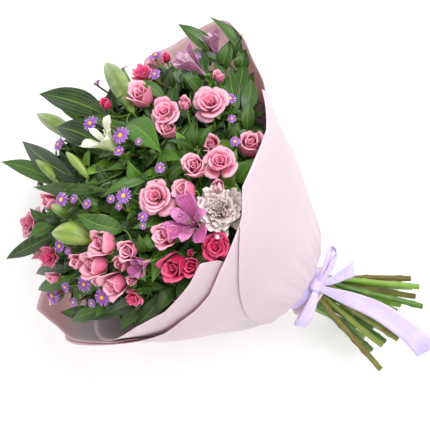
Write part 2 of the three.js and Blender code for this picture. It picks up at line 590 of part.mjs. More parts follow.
// Where two segments come nearest: the part of each, and the way between.
function nearest(a, b) {
  const [u, v] = [a[1].point.clone().sub(a[0].point), b[1].point.clone().sub(b[0].point)];
  const w = a[0].point.clone().sub(b[0].point);
  const [uu, uv, vv, uw, vw] = [u.dot(u), u.dot(v), v.dot(v), u.dot(w), v.dot(w)];
  const clamp = (x) => Math.min(1, Math.max(0, x));
  const flat = uu * vv - uv * uv;
  let t = flat > 1e-9 ? clamp((uv * vw - vv * uw) / flat) : 0;
  const r = vv > 1e-9 ? clamp((uv * t + vw) / vv) : 0;
  t = uu > 1e-9 ? clamp((uv * r - uw) / uu) : 0;
  return { t, r, way: w.addScaledVector(u, t).addScaledVector(v, -r) };
}

const BEND_ROUNDS = 60;
const BEND_ROOM = 0.8;               // room that the bending leaves between two stems
const BEND_LIMIT = 3;                // the most that a point moves in a round

// Bends stems and branches clear of those of other plants, of all heads and of the leaves' midribs,
// a little each round.
function bendClear(chains, midribs) {
  const segments = chains.flatMap(({ nodes, plant }) => nodes.slice(1).map((node, k) => (
    { ends: [nodes[k], node], plant, half: (nodes[k].half + node.half) / 2 })));
  chains.forEach(({ h, plant }) => {
    const [low, high] = h.tip ? [h.foot, h.tip] : [h.centre, h.centre];
    segments.push({
      ends: [{ point: low, held: true }, { point: high, held: true }], plant, half: h.radius * 0.85 });
  });
  midribs.forEach(({ foot, tip, plant }) => segments.push({
    ends: [{ point: foot, held: true }, { point: tip, held: true }], plant, half: PETIOLE_WIDTH / 2 }));
  for (let round = 0; round < BEND_ROUNDS; round += 1) {
    const moves = new Map();
    const push = ({ ends }, part, by) => ends.forEach((node, k) => {
      if (node.held) return;
      const before = moves.get(node) ?? V(0, 0, 0);
      moves.set(node, before.addScaledVector(by, k ? part : 1 - part));
    });
    segments.forEach((a, i) => segments.slice(i + 1).forEach((b) => {
      if (a.plant === b.plant) return;
      const { t, r, way } = nearest(a.ends, b.ends);
      const short = a.half + b.half + BEND_ROOM - way.length();
      if (short <= 0) return;
      way.setLength(short * 0.5);
      push(a, t, way);
      push(b, r, way.clone().negate());
    }));
    moves.forEach((by, node) => node.point.add(by.clampLength(0, BEND_LIMIT)));
  }
}

// ---------------------------------------------------------------- leaves
const ROOT_PARTS = [0.15, 0.5, 0.85];
const ROOTS_TRIED = 7;
const SHARPEST_TURN = 0.1;           // cosine of the turn between a leaf's stalk and its blade
const LEAF_LIFTS = [0, 8, -8, 16, -16];  // how far a leaf is raised or sunk to miss its neighbours
const KEPT_WHOLE = 0.99999;            // a leaf that keeps this much of its bulk counts as whole
const KEPT_LEAST = 0.55;
const FILL_COUNT = 1;
const FILL_HIDDEN = 3;               // on a plant with no leaves of the picture
const FILL_TRIES = 12;
const FILL_TURN = 137.5;
const FILL_PLANT_TURN = 71;
const FILL_STRIDE = 5;               // places that the next try is further along the plant
const FILL_RISE = 1.4;               // how much a filling leaf follows the stems rather than their side
const FILL_LENGTH = 62;
const FILL_WIDTH = 26;
const FILL_FOOT = 12;
const FILL_LIFT = 12;
const FILL_ARCH = 5;

function leaf(root, foot, tip, width, arch, faceDir) {
  const half = PETIOLE_WIDTH / 2;
  return stalk([root, foot], [half, half], BRANCH_SIDES,
    (square) => bladeRings(foot, tip, width, arch, faceDir, square));
}

// The places on a plant's stems that a leaf may grow from.
function rootsOf(chains) {
  return chains.flatMap(({ nodes, sides }) => {
    const span = nodes.slice(sides === BRANCH_SIDES ? 0 : 2, -1).map(({ point }) => point);
    return span.slice(1).flatMap((point, k) => ROOT_PARTS.map((t) => span[k].clone().lerp(point, t)));
  });
}

// What is left of a leaf beside its neighbours, and how much of it that is; none when it comes off
// its stem.
function leafBeside(root, shape, wood, foreign) {
  const solid = biggest(cleared(shape, foreign));
  const joined = !solid.intersect(wood).isEmpty();
  return { root, solid, kept: joined ? solid.volume() / shape.volume() : 0 };
}

// A leaf at its place in the picture: it grows from one of the nearest places of its plant's stems,
// raised or sunk a little, whichever leaves it whole or costs it least. No two leaves share a root.
function placedLeaf(spec, roots, wood, foreign) {
  const ahead = (root) => spec.foot.clone().sub(root).normalize().dot(spec.dir);
  const near = roots.filter((root) => ahead(root) > SHARPEST_TURN)
    .sort((a, b) => a.distanceTo(spec.foot) - b.distanceTo(spec.foot));
  let best = { kept: KEPT_LEAST };
  for (const lift of LEAF_LIFTS) {
    const up = spec.faceDir.clone().multiplyScalar(lift);
    for (const root of near.slice(0, ROOTS_TRIED)) {
      const shape = leaf(root, spec.foot.clone().add(up), spec.tip.clone().add(up), spec.radius * 2,
        spec.arch, spec.faceDir);
      const found = leafBeside(root, shape, wood, foreign);
      if (found.kept > best.kept) best = found;
      if (best.kept > KEPT_WHOLE) return best;
    }
  }
  return best;
}

// Leaves by rule, reaching up and out from a plant's stems: each try is a golden angle on from the
// last, and the first ones that stand clear of all other plants grow.
function filledLeaves(count, roots, index, wood, foreign) {
  const leaves = [];
  for (let k = 0; k < FILL_TRIES && leaves.length < count; k += 1) {
    const root = roots[(k * FILL_STRIDE + index) % roots.length];
    const angle = degToRad(FILL_TURN * (k + 1) + FILL_PLANT_TURN * index);
    const out = sideDir.clone().multiplyScalar(Math.cos(angle)).addScaledVector(raiseDir, Math.sin(angle));
    const up = root.clone().sub(tie).normalize();
    const dir = out.addScaledVector(up, FILL_RISE).normalize();
    const foot = root.clone().addScaledVector(dir, FILL_FOOT);
    const tip = drawnIn(foot.clone().addScaledVector(dir, FILL_LENGTH), FILL_LIFT);
    const found = leafBeside(root, leaf(root, foot, tip, FILL_WIDTH, FILL_ARCH, up), wood, foreign);
    if (found.kept > KEPT_WHOLE) leaves.push(found.solid);
  }
  return leaves;
}

// ---------------------------------------------------------------- paper
const PAPER_COLLAR = -17;            // the paper's lower edge, along the axis
const PAPER_LAYER = 2.0;             // each sheet lies this much further out
const PUFF_START = 9;                // the paper lies straight under the ribbon to here
const PAPER_ROWS = [-PUFF_START, PUFF_START, 22, 50, 110];
const PUFF_REACH = 8;
const COLLAR_PUFF = 12;              // how far the collar below the tie puffs out
const PAPER_END_ROWS = 3;
const FLAP = { angle: 96, width: 22, start: 222, end: 262, out: 24 };  // the back sheet's free corner
const CURL_START = 220;              // from here on the sides of the paper turn up
const CURL_KEPT = 0.8;
const LAYER_OPENING = 0.008;         // an outer sheet opens this much more, per millimetre
const EDGE_REACH = 200;              // along this length the side edges run from the waist to the rim

function paperRadius(s, angle, layer) {
  const slope = PAPER_SLOPE - PAPER_SKEW * Math.sin(angle);
  const curl = 1 - CURL_KEPT * Math.sin(angle) ** 2;
  const run = Math.max(0, Math.min(s, CURL_START) - PUFF_START + Math.max(0, s - CURL_START) * curl);
  const puff = (s > 0 ? PAPER_PUFF : COLLAR_PUFF)
    * (1 - Math.exp(-Math.max(0, Math.abs(s) - PUFF_START) / PUFF_REACH));
  const flap = layer > 0 ? 0 : FLAP.out * THREE.MathUtils.smoothstep(s, FLAP.start, FLAP.end)
    * Math.exp(-(((THREE.MathUtils.radToDeg(angle) - FLAP.angle) / FLAP.width) ** 2));
  return PAPER_WAIST + layer * (PAPER_LAYER + LAYER_OPENING * Math.max(0, s)) + puff + slope * run + flap;
}

function between(table, x) {
  const k = Math.max(1, table.findIndex(([at]) => at >= x));
  const [[x0, y0], [x1, y1]] = [table[k - 1], table[k]];
  return THREE.MathUtils.mapLinear(x, x0, x1, y0, y1);
}

// A thin body between two like grids of points. Both faces are split along the same diagonals, so
// that they never cross, and the edges are closed all the way round.
function thinWall(outer, inner) {
  const [rows, columns] = [outer.length, outer[0].length];
  const positions = [...outer, ...inner].flat().flatMap((p) => [p.x, p.y, p.z]);
  const at = (k, j) => k * columns + j;
  const across = rows * columns;       // from a point of the outer face to its partner inside
  const triangles = [];
  for (let k = 0; k + 1 < rows; k += 1) {
    for (let j = 0; j + 1 < columns; j += 1) {
      const [a, b, c, d] = [at(k, j), at(k + 1, j), at(k + 1, j + 1), at(k, j + 1)];
      triangles.push(a, b, d, b, c, d);
      triangles.push(...[a, d, b, b, d, c].map((p) => p + across));
    }
  }
  const edge = [
    ...Array.from({ length: columns - 1 }, (_, j) => at(0, j)),
    ...Array.from({ length: rows - 1 }, (_, k) => at(k, columns - 1)),
    ...Array.from({ length: columns - 1 }, (_, j) => at(rows - 1, columns - 1 - j)),
    ...Array.from({ length: rows - 1 }, (_, k) => at(rows - 1 - k, 0))];
  edge.forEach((p, k) => {
    const q = edge[(k + 1) % edge.length];
    triangles.push(p, q, q + across, p, q + across, p + across);
  });
  return asManifold(positions, triangles);
}

// One sheet: its two side edges (degrees about the axis from the top, at the waist and at the rim)
// and its rim, as places along the axis at those angles.
const SHEETS = [
  { name: 'paper_back_sheet', layer: 0, waist: [48, 312], edge: [66, 294], columns: 19, rim: [
    [60, 205], [84, 262], [104, 276], [135, 276], [160, 262], [180, 258], [200, 258], [225, 250],
    [250, 240], [270, 222], [300, 196]] },
  { name: 'paper_left_sheet', layer: 1, waist: [-130, 50], edge: [-112, 22], columns: 12, rim: [
    [-130, 228], [-100, 226], [-85, 218], [-70, 196], [-50, 164], [-40, 155], [-16, 178], [5, 198],
    [60, 204]] },
  { name: 'paper_right_sheet', layer: 2, waist: [-62, 128], edge: [6, 112], columns: 12, rim: [
    [-62, 203], [6, 203], [11, 209], [18, 226], [45, 216], [65, 205], [90, 204], [112, 225],
    [128, 235]] },
];

function paperSheet({ layer, waist, edge, rim, columns }) {
  const rows = [PAPER_COLLAR, ...PAPER_ROWS, ...Array.from({ length: PAPER_END_ROWS }, () => null)];
  const wall = (outward) => rows.map((fixed, k) => Array.from({ length: columns + 1 }, (_, j) => {
    const share = j / columns;
    const angleAt = (s) => {
      const reach = Math.min(1, Math.max(0, s / EDGE_REACH));
      const low = THREE.MathUtils.lerp(waist[0], edge[0], reach);
      return low + (THREE.MathUtils.lerp(waist[1], edge[1], reach) - low) * share;
    };
    const last = PAPER_ROWS.at(-1);
    const end = between(rim, angleAt(EDGE_REACH));
    const s = fixed ?? last + (end - last) * (k - PAPER_ROWS.length) / PAPER_END_ROWS;
    const angle = degToRad(angleAt(s));
    const r = paperRadius(s, angle, layer) + (outward ? PAPER : 0);
    const point = place(s, -r * Math.sin(angle), r * Math.cos(angle));
    point.z = Math.max(point.z, outward ? 0 : PAPER);
    return point;
  }));
  return thinWall(wall(true), wall(false));
}

// ---------------------------------------------------------------- ties and ribbon
const TWINE_RADIUS = 1.0;
const TWINE_INNER = 22.7;
const RIBBON_THICK = 0.9;
const BAND_WIDTH = 13;
const BAND_INNER = 31.0;

function hoop(inner, outer, from, to, sides) {
  const solid = stalk([place(from, 0, 0), place(to, 0, 0)], [outer, outer], sides);
  const hole = stalk([place(from - 5, 0, 0), place(to + 5, 0, 0)], [inner, inner], sides);
  return solid.subtract(hole);
}

// A flat ribbon along points given as (s, lateral, n), with its width and the way it is spread.
function ribbon(stations) {
  const points = stations.map(([s, side, n]) => place(s, -side, n));
  const rings = points.map((point, k) => {
    const ahead = points[Math.min(k + 1, points.length - 1)];
    const dir = ahead.clone().sub(points[Math.max(0, k - 1)]).normalize();
    const [, , , wide, spreadAngle] = stations[k];
    const a = degToRad(spreadAngle);
    const wish = alongDir.clone().multiplyScalar(Math.cos(a)).addScaledVector(raiseDir, Math.sin(a) * 0.5)
      .addScaledVector(sideDir, -Math.sin(a));
    const [across, through] = squareTo(dir, wish);
    const corner = (i, j) => point.clone().addScaledVector(across, i * wide / 2)
      .addScaledVector(through, j * RIBBON_THICK / 2);
    return [corner(1, 1), corner(-1, 1), corner(-1, -1), corner(1, -1)];
  });
  return skin([[points[0]], ...rings, [points.at(-1)]]);
}

const KNOT = { s: -2, side: 11, n: 38.7, half: 8.5 };  // its place, and its half length
const KNOT_ROWS = [[-0.75, 0.5], [-0.2, 0.95], [0.35, 0.9], [0.8, 0.5]];  // along and across, in halves
const KNOT_SIDES = 8;
// The upper loop, the lower loop, the short tail and the long tail.
const RIBBON_PARTS = [
  [[-2, 12, 40, 7, 0], [4, 32, 45, 9, 10], [11, 50, 49, 11, 20], [15, 62, 50, 10, 40], [9, 60, 56, 9, 60],
    [2, 40, 52, 9, 20], [-2, 14, 43.5, 7, 0]],
  [[-3, 8, 41, 7, 0], [-8, -12, 45, 13, 0], [-12, -30, 43, 17, 0], [-14, -43, 34, 15, 0],
    [-11, -35, 36.5, 14, 0], [-8, -20, 41.5, 12, 0], [-4, 6, 38.5, 7, 0]],
  [[-4, 14, 41, 8, 60], [-16, 30, 43, 14, 50], [-28, 46, 38, 22, 40], [-36, 56, 33, 24, 35]],
  [[-5, 10, 40, 8, 90], [-22, 16, 42, 13, 90], [-50, 24, 43, 19, 90], [-88, 34, 59, 22, 90],
    [-126, 36, 79, 22, 90], [-158, 33, 86, 22, 90], [-180, 30, 76, 22, 90]],
];

function knot() {
  const centre = place(KNOT.s, -KNOT.side, KNOT.n);
  return stalk(KNOT_ROWS.map(([t]) => centre.clone().addScaledVector(alongDir, t * KNOT.half)),
    KNOT_ROWS.map(([, r]) => r * KNOT.half), KNOT_SIDES);
}

// ---------------------------------------------------------------- assembly
function biggest(solid) {
  return solid.decompose().reduce((best, piece) => (piece.volume() > best.volume() ? piece : best));
}

// The same body with every face moved out a little, for cutting a gap round it.
function swollen(solid, by) {
  const mesh = solid.getMesh();
  const geometry = new THREE.BufferGeometry();
  geometry.setAttribute('position', new THREE.Float32BufferAttribute(mesh.vertProperties, 3));
  geometry.setIndex(Array.from(mesh.triVerts));
  geometry.computeVertexNormals();
  const { position, normal } = geometry.attributes;
  const moved = Array.from(position.array, (value, k) => value + by * normal.array[k]);
  return asManifold(moved, Array.from(mesh.triVerts));
}

// The same body with its corners on a fine grid, so that no two of them nearly meet.
const GRIDS = [1 / 256, 1 / 200, 1 / 150, 1 / 300];

function snapped(solid, grid) {
  const mesh = solid.getMesh();
  return asManifold(
    Array.from(mesh.vertProperties, (value) => Math.round(value / grid) * grid), Array.from(mesh.triVerts));
}

// True where no edge of the body carries more than two faces, so that it doesn't touch itself.
function isSound(solid) {
  const { vertProperties, triVerts } = solid.getMesh();
  const corner = (v) => vertProperties.slice(v * 3, v * 3 + 3).join();
  const faces = new Map();
  for (let k = 0; k < triVerts.length; k += 1) {
    const next = k % 3 === 2 ? k - 2 : k + 1;
    const edge = [corner(triVerts[k]), corner(triVerts[next])].sort().join(' ');
    faces.set(edge, (faces.get(edge) ?? 0) + 1);
  }
  return [...faces.values()].every((count) => count === 2);
}

function whole(solid) {
  const piece = biggest(solid);
  const made = GRIDS.map((grid) => () => biggest(snapped(piece, grid)));
  return (made.find((make) => isSound(make())) ?? made[0])();
}

function meet(a, b) {
  const [p, q] = [a.boundingBox(), b.boundingBox()];
  return [0, 1, 2].every((k) => p.min[k] < q.max[k] && q.min[k] < p.max[k]);
}

function cleared(solid, others) {
  return others.filter((other) => meet(solid, other)).reduce((rest, other) => {
    const shared = rest.intersect(other);
    return shared.isEmpty() || shared.volume() > rest.volume() * 0.98 ? rest : rest.subtract(other);
  }, solid);
}

// The same body moved by a small step.
function shifted(solid, step) {
  const mesh = solid.getMesh();
  const moved = Array.from(mesh.vertProperties, (value, k) => value + step.getComponent(k % 3));
  return asManifold(moved, Array.from(mesh.triVerts));
}

// Cuts a solid clear of finished ones that still reach into it, by a small step each way.
const STEP_ASIDE = 0.06;
const asides = [V(1, 0, 0), V(0, 1, 0), V(0, 0, 1)].flatMap((axis) => (
  [axis.clone().multiplyScalar(STEP_ASIDE), axis.clone().multiplyScalar(-STEP_ASIDE)]));

function parted(solid, others) {
  const near = others.filter((other) => meet(solid, other) && !solid.intersect(other).isEmpty());
  return near.reduce((rest, other) => (
    asides.reduce((left, step) => left.subtract(shifted(other, step)), rest)), solid);
}

const bouquet = new THREE.Group();

function add(name, solid, color, roughness = 0.6) {
  const { vertProperties, triVerts } = solid.getMesh();
  const geometry = new THREE.BufferGeometry();
  geometry.setAttribute('position', new THREE.BufferAttribute(new Float32Array(vertProperties), 3));
  geometry.setIndex(new THREE.BufferAttribute(new Uint32Array(triVerts), 1));
  geometry.computeVertexNormals();
  const mesh = new THREE.Mesh(geometry, new THREE.MeshStandardMaterial({ color, roughness, metalness: 0 }));
  mesh.name = name;
  bouquet.add(mesh);
}

const plants = PLANTS.map((plant) => (
  { ...plant, heads: plant.heads.map(settleHead), leaves: (plant.leaves ?? []).map(settleLeaf) }));
const free = slots(plants.length);
const laid = plants.map((plant, index) => (
  layStem(plant, nearestSlot(free, gather(plant.heads[0].foot)), index)));
bendClear(laid.flat(), plants.flatMap(({ leaves }, plant) => leaves.map((spec) => ({ ...spec, plant }))));
const grown = plants.map((plant, index) => ({
  plant,
  wood: laid[index].map(wooden).reduce((all, solid) => all.add(solid)),
  roots: rootsOf(laid[index]),
}));
SHEETS.forEach((sheet) => Object.assign(sheet, { solid: paperSheet(sheet) }));
const papers = SHEETS.map(({ solid }) => solid);
const paperShells = papers.map((solid) => swollen(solid, CLEARANCE));
const woodShells = grown.map(({ wood }) => swollen(wood, CLEARANCE));

// Loose heads give way to every stem and to the heads before them.
const headShells = [];
const finished = [...papers];
const finishedShells = [...paperShells];
const finish = (name, solid, color) => {
  const made = whole(parted(cleared(solid, finishedShells), finished));
  add(name, made, color);
  finished.push(made);
  finishedShells.push(swollen(made, CLEARANCE / 3));
  return made;
};
plants.flatMap(({ heads }) => heads).filter(({ node }) => node).forEach((h) => {
  const shape = biggest(cleared(looseHead(h), [...woodShells, ...headShells, ...paperShells]));
  headShells.push(swollen(finish(h.node, shape, h.color), CLEARANCE));
});

// Leaves give way to everything that is there before them.
const leafShells = [];
grown.forEach((item, index) => {
  const foreign = [
    ...woodShells.filter((_, k) => k !== index), ...headShells, ...paperShells,
    ...leafShells.filter(({ owner }) => owner !== index).map(({ solid }) => solid)];
  const leaves = item.plant.leaves.map((spec) => {
    const { root, solid } = placedLeaf(spec, item.roots, item.wood, foreign);
    item.roots = item.roots.filter((other) => other !== root);
    return solid;
  });
  const count = leaves.length ? FILL_COUNT : FILL_HIDDEN;
  leaves.push(...filledLeaves(count, item.roots, index, item.wood, foreign));
  leaves.forEach((solid) => leafShells.push({ owner: index, solid: swollen(solid, CLEARANCE) }));
  finish(item.plant.name, biggest(leaves.reduce((all, solid) => all.add(solid), item.wood)), GREEN);
});

SHEETS.forEach(({ name, solid }) => add(name, whole(solid), WRAP, 0.8));
add('stem_twine', whole(hoop(TWINE_INNER, TWINE_INNER + 2 * TWINE_RADIUS, -TWINE_RADIUS, TWINE_RADIUS, 14)),
  TWINE);
add('ribbon_band', whole(hoop(BAND_INNER, BAND_INNER + RIBBON_THICK, -BAND_WIDTH / 2, BAND_WIDTH / 2, 20)),
  SATIN, 0.3);
const bow = RIBBON_PARTS.reduce((all, stations) => all.add(ribbon(stations)), knot());
add('ribbon_bow', whole(bow), SATIN, 0.3);

// The row's origin is the middle of the object's footprint.
const extent = new THREE.Box3().setFromObject(bouquet);
const middle = extent.getCenter(V(0, 0, 0));
bouquet.position.set(-middle.x, -middle.y, 0);

export default bouquet;
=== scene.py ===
"""A hand-tied mixed flower bouquet in a pale paper wrap, dressed for the camera.

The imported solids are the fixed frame. Every bloom, leaf, stem, sheet and ribbon below is a surface
worked out with numpy at the place of the solid that it stands for. Lengths are millimetres in the
bouquet's own frame, where the origin lies on the table below the tie, and become metres in the mesh.
"""

from __future__ import annotations

import logging
import math
from collections.abc import Callable
from dataclasses import dataclass, field
from enum import Enum

import bmesh
import bpy
import numpy as np
from mathutils import Matrix, Vector


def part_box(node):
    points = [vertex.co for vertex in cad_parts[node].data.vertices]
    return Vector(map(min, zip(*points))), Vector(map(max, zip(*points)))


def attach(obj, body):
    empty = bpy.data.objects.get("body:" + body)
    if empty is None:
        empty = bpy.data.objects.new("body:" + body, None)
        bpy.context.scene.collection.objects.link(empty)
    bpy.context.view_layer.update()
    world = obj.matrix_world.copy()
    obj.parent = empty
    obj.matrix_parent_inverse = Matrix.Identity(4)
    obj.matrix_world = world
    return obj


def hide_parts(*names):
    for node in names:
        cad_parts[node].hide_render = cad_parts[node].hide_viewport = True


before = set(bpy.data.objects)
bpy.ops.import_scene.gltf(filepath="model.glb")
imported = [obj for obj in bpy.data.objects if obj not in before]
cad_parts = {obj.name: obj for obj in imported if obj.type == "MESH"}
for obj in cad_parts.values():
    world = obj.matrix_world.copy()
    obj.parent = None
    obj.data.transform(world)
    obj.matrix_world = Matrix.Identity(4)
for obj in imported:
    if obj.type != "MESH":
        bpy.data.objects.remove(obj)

log = logging.getLogger("bouquet")
logging.basicConfig(level=logging.INFO, format="%(name)s: %(message)s")

Array, Random = np.ndarray, np.random.Generator
Material, Node, Tree, Piece = bpy.types.Material, bpy.types.Node, bpy.types.NodeTree, bpy.types.Object
Rows = tuple[tuple[float, ...], ...]
MM = 0.001
TINY = 1e-9
FULL_TURN = 2 * math.pi
PHASES = 6.28
GOLDEN_TURN = math.radians(137.508)
UP = np.array([0.0, 0.0, 1.0])


# ---- small vector helpers
def unit(v: Array) -> Array:
    """Vectors of length one along the given ones."""
    return v / np.maximum(np.linalg.norm(v, axis=-1, keepdims=True), TINY)


def length_of(v: Array) -> Array:
    """Lengths of vectors."""
    return np.linalg.norm(v, axis=-1)


def dot(a: Array, b: Array) -> Array:
    """Dot product over the last axis, kept as an axis."""
    return np.sum(a * b, axis=-1, keepdims=True)


def square_to(direction: Array, wish: Array) -> tuple[Array, Array]:
    """Two directions square to a unit direction.

    Args:
        direction: unit vectors.
        wish: vectors that the first result leans towards.

    Returns:
        The wish less its part along the direction, made a unit, and the cross product of both.
    """
    first = wish - dot(wish, direction) * direction
    parallel = np.linalg.norm(first, axis=-1, keepdims=True) < 1e-3
    spare = np.array([1.0, 0.0, 0.0]) - direction[..., :1] * direction
    first = unit(np.where(parallel, spare, first))
    return first, np.cross(direction, first)


def evenly(count: int) -> Array:
    """Numbers spread evenly from 0 to 1."""
    return np.linspace(0.0, 1.0, count)


def smoothstep(x: Array, low: float, high: float) -> Array:
    """Rises from 0 to 1 between low and high along 3t^2 - 2t^3."""
    t = np.clip((x - low) / (high - low), 0.0, 1.0)
    return t * t * (3.0 - 2.0 * t)


def flowing(points: Array, count: int, at: Array | None = None) -> Array:
    """A smooth curve through points.

    Args:
        points: (n, d) values that the curve passes.
        count: how many samples to take, evenly by the points' order.
        at: where to take them instead, as numbers from 0 to n - 1.

    Returns:
        (count, d) samples of the Catmull-Rom curve: in each span the cubic whose slope at a point
        is half the step between that point's two neighbours.
    """
    padded = np.vstack([2 * points[0] - points[1], points, 2 * points[-1] - points[-2]])
    at = np.linspace(0.0, len(points) - 1.0, count) if at is None else at
    k = np.minimum(at.astype(int), len(points) - 2)
    t = (at - k)[:, None]
    p0, p1, p2, p3 = (padded[k + j] for j in range(4))
    return 0.5 * (2 * p1 + (p2 - p0) * t + (2 * p0 - 5 * p1 + 4 * p2 - p3) * t**2
                  + (3 * p1 - p0 - 3 * p2 + p3) * t**3)


# ---- the bouquet's own frame
@dataclass(frozen=True)
class BouquetFrame:
    """The axis of the bouquet, its spiral of stems, its dome of heads and the picture over it.

    The axis rises from the tie at axis_rise. A place is given as s along it, y to the side and n
    square to both. The sheaf of stems turns by atan(s / twist_length) and widens as a hyperboloid.
    """

    tie_height: float = 105.0
    axis_rise: float = 22.0
    twist_length: float = 38.0
    sheaf_lean: float = 0.17
    lean_end: float = 60.0
    lean_back: float = 180.0
    flare: float = 0.8e-4
    flare_start: float = 20.0
    dome_centre: float = 230.0
    dome_axial: float = 150.0
    dome_across: float = 185.0
    head_focus: float = 90.0
    view_height: float = 2400.0
    pixel: float = 1.3
    tie_px: float = 300.0
    tie_py: float = 285.0
    axis_turn: float = 33.0
    picture_middle: float = 215.0

    def __post_init__(self) -> None:
        """Works out the axes, the eye and the tie once."""
        rise, turn = math.radians(self.axis_rise), math.radians(self.axis_turn)
        put = object.__setattr__
        put(self, "along", np.array([math.cos(rise), 0.0, math.sin(rise)]))
        put(self, "side", np.array([0.0, 1.0, 0.0]))
        put(self, "lift", np.array([-math.sin(rise), 0.0, math.cos(rise)]))
        put(self, "tie", np.array([0.0, 0.0, self.tie_height]))
        put(self, "right", np.array([-math.cos(turn), -math.sin(turn), 0.0]))
        put(self, "upward", np.array([math.sin(turn), -math.cos(turn), 0.0]))
        put(self, "focal", (self.view_height - self.tie_height) / self.pixel)
        put(self, "middle", np.array([self.dome_centre, 0.0, 0.0]))
        put(self, "reach", np.array([self.dome_axial, self.dome_across, self.dome_across]))
        put(self, "eye", self.view_height * UP
            - (self.tie_px - self.picture_middle) * self.pixel * self.right
            + (self.tie_py - self.picture_middle) * self.pixel * self.upward)

    def place(self, s: Array, y: Array, n: Array) -> Array:
        """The point s along the axis, y to the side and n square to both."""
        s, y, n = (x[..., None] for x in np.broadcast_arrays(np.asarray(s, float), y, n))
        return self.tie + s * self.along + y * self.side + n * self.lift

    def measure(self, point: Array) -> Array:
        """The (s, y, n) of a point."""
        return (point - self.tie) @ np.stack([self.along, self.side, self.lift], axis=1)

    def spread(self, s: Array) -> Array:
        """How many times wider the sheaf is than at the tie."""
        flared = self.flare * np.maximum(0.0, s - self.flare_start) ** 2
        return np.hypot(1.0, s / self.twist_length) + flared

    def lean(self, s: Array) -> Array:
        """How far the sheaf leans to the side: more and more up to lean_end, then back to nothing."""
        back = self.lean_end * (1.0 - smoothstep(s, self.lean_end, self.lean_back))
        return self.sheaf_lean * np.where(s < self.lean_end, s, back)

    def fan(self, s: Array, slot: Array) -> Array:
        """The place at s of a slot of the tie's section: turned by atan(s / twist_length) and spread."""
        s = np.asarray(s, float)
        a, wide = np.arctan2(s, self.twist_length), self.spread(s)
        x = (slot[..., 0] * np.cos(a) - slot[..., 1] * np.sin(a)) * wide
        y = (slot[..., 0] * np.sin(a) + slot[..., 1] * np.cos(a)) * wide
        return self.place(s, x + self.lean(s), y)

    def gather(self, point: Array) -> Array:
        """The slot of the tie's section that a point belongs to: fan taken back at its own s."""
        m = self.measure(point)
        s, a = m[..., 0], -np.arctan2(m[..., 0], self.twist_length)
        x, y = (m[..., 1] - self.lean(s)) / self.spread(s), m[..., 2] / self.spread(s)
        return np.stack([x * np.cos(a) - y * np.sin(a), x * np.sin(a) + y * np.cos(a)], axis=-1)

    def on_dome(self, px: float, py: float, lift: float = 0.0) -> Array:
        """Where the sight line of a picture point meets the dome of heads, raised by lift.

        Returns:
            The nearer root of the quadratic of line and ellipsoid, or the line's nearest point.
        """
        squash = 1.0 / (self.reach + lift)
        ray = (-UP + self.right * (px - self.picture_middle) / self.focal
               - self.upward * (py - self.picture_middle) / self.focal)
        start = (self.measure(self.eye) - self.middle) * squash
        step = self.measure(ray + self.tie) * squash
        b = float(start @ step / (step @ step))
        root = b * b - float((start @ start - 1.0) / (step @ step))
        return self.eye + ray * (-b - math.sqrt(max(0.0, root)))

    def dome_point(self, turned: Array, leaning: Array, lift: Array) -> Array:
        """A point of the raised dome, turned about the axis and leaning off it, both in radians."""
        r = (self.dome_across + lift) * np.sin(leaning)
        s = self.dome_centre + (self.dome_axial + lift) * np.cos(leaning)
        return self.place(s, r * np.sin(turned), r * np.cos(turned))

    def unit_at(self, point: Array) -> float:
        """The size of one picture unit at a point's height."""
        return self.pixel * (self.view_height - point[2]) / (self.view_height - self.tie_height)

    def facing(self, point: Array, to_eye: float, look: tuple[float, float] = (0.0, 0.0)) -> Array:
        """The way a head faces.

        Args:
            point: the head's centre.
            to_eye: how much it turns to the eye, from 0 to 1.
            look: a lean towards the picture's right and upward ways.

        Returns:
            The unit way off the axis' focus, mixed with up, plus the look.
        """
        out = unit(point - self.place(self.head_focus, 0.0, 0.0))
        return unit(out + (UP - out) * to_eye + self.right * look[0] + self.upward * look[1])


BOUQUET = BouquetFrame()


def tie_offset() -> Array:
    """The tie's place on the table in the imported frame, from the twine's own box."""
    low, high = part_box("stem_twine")
    middle = (low + high) / 2
    return np.array([middle.x, middle.y, 0.0])


OFFSET = tie_offset()


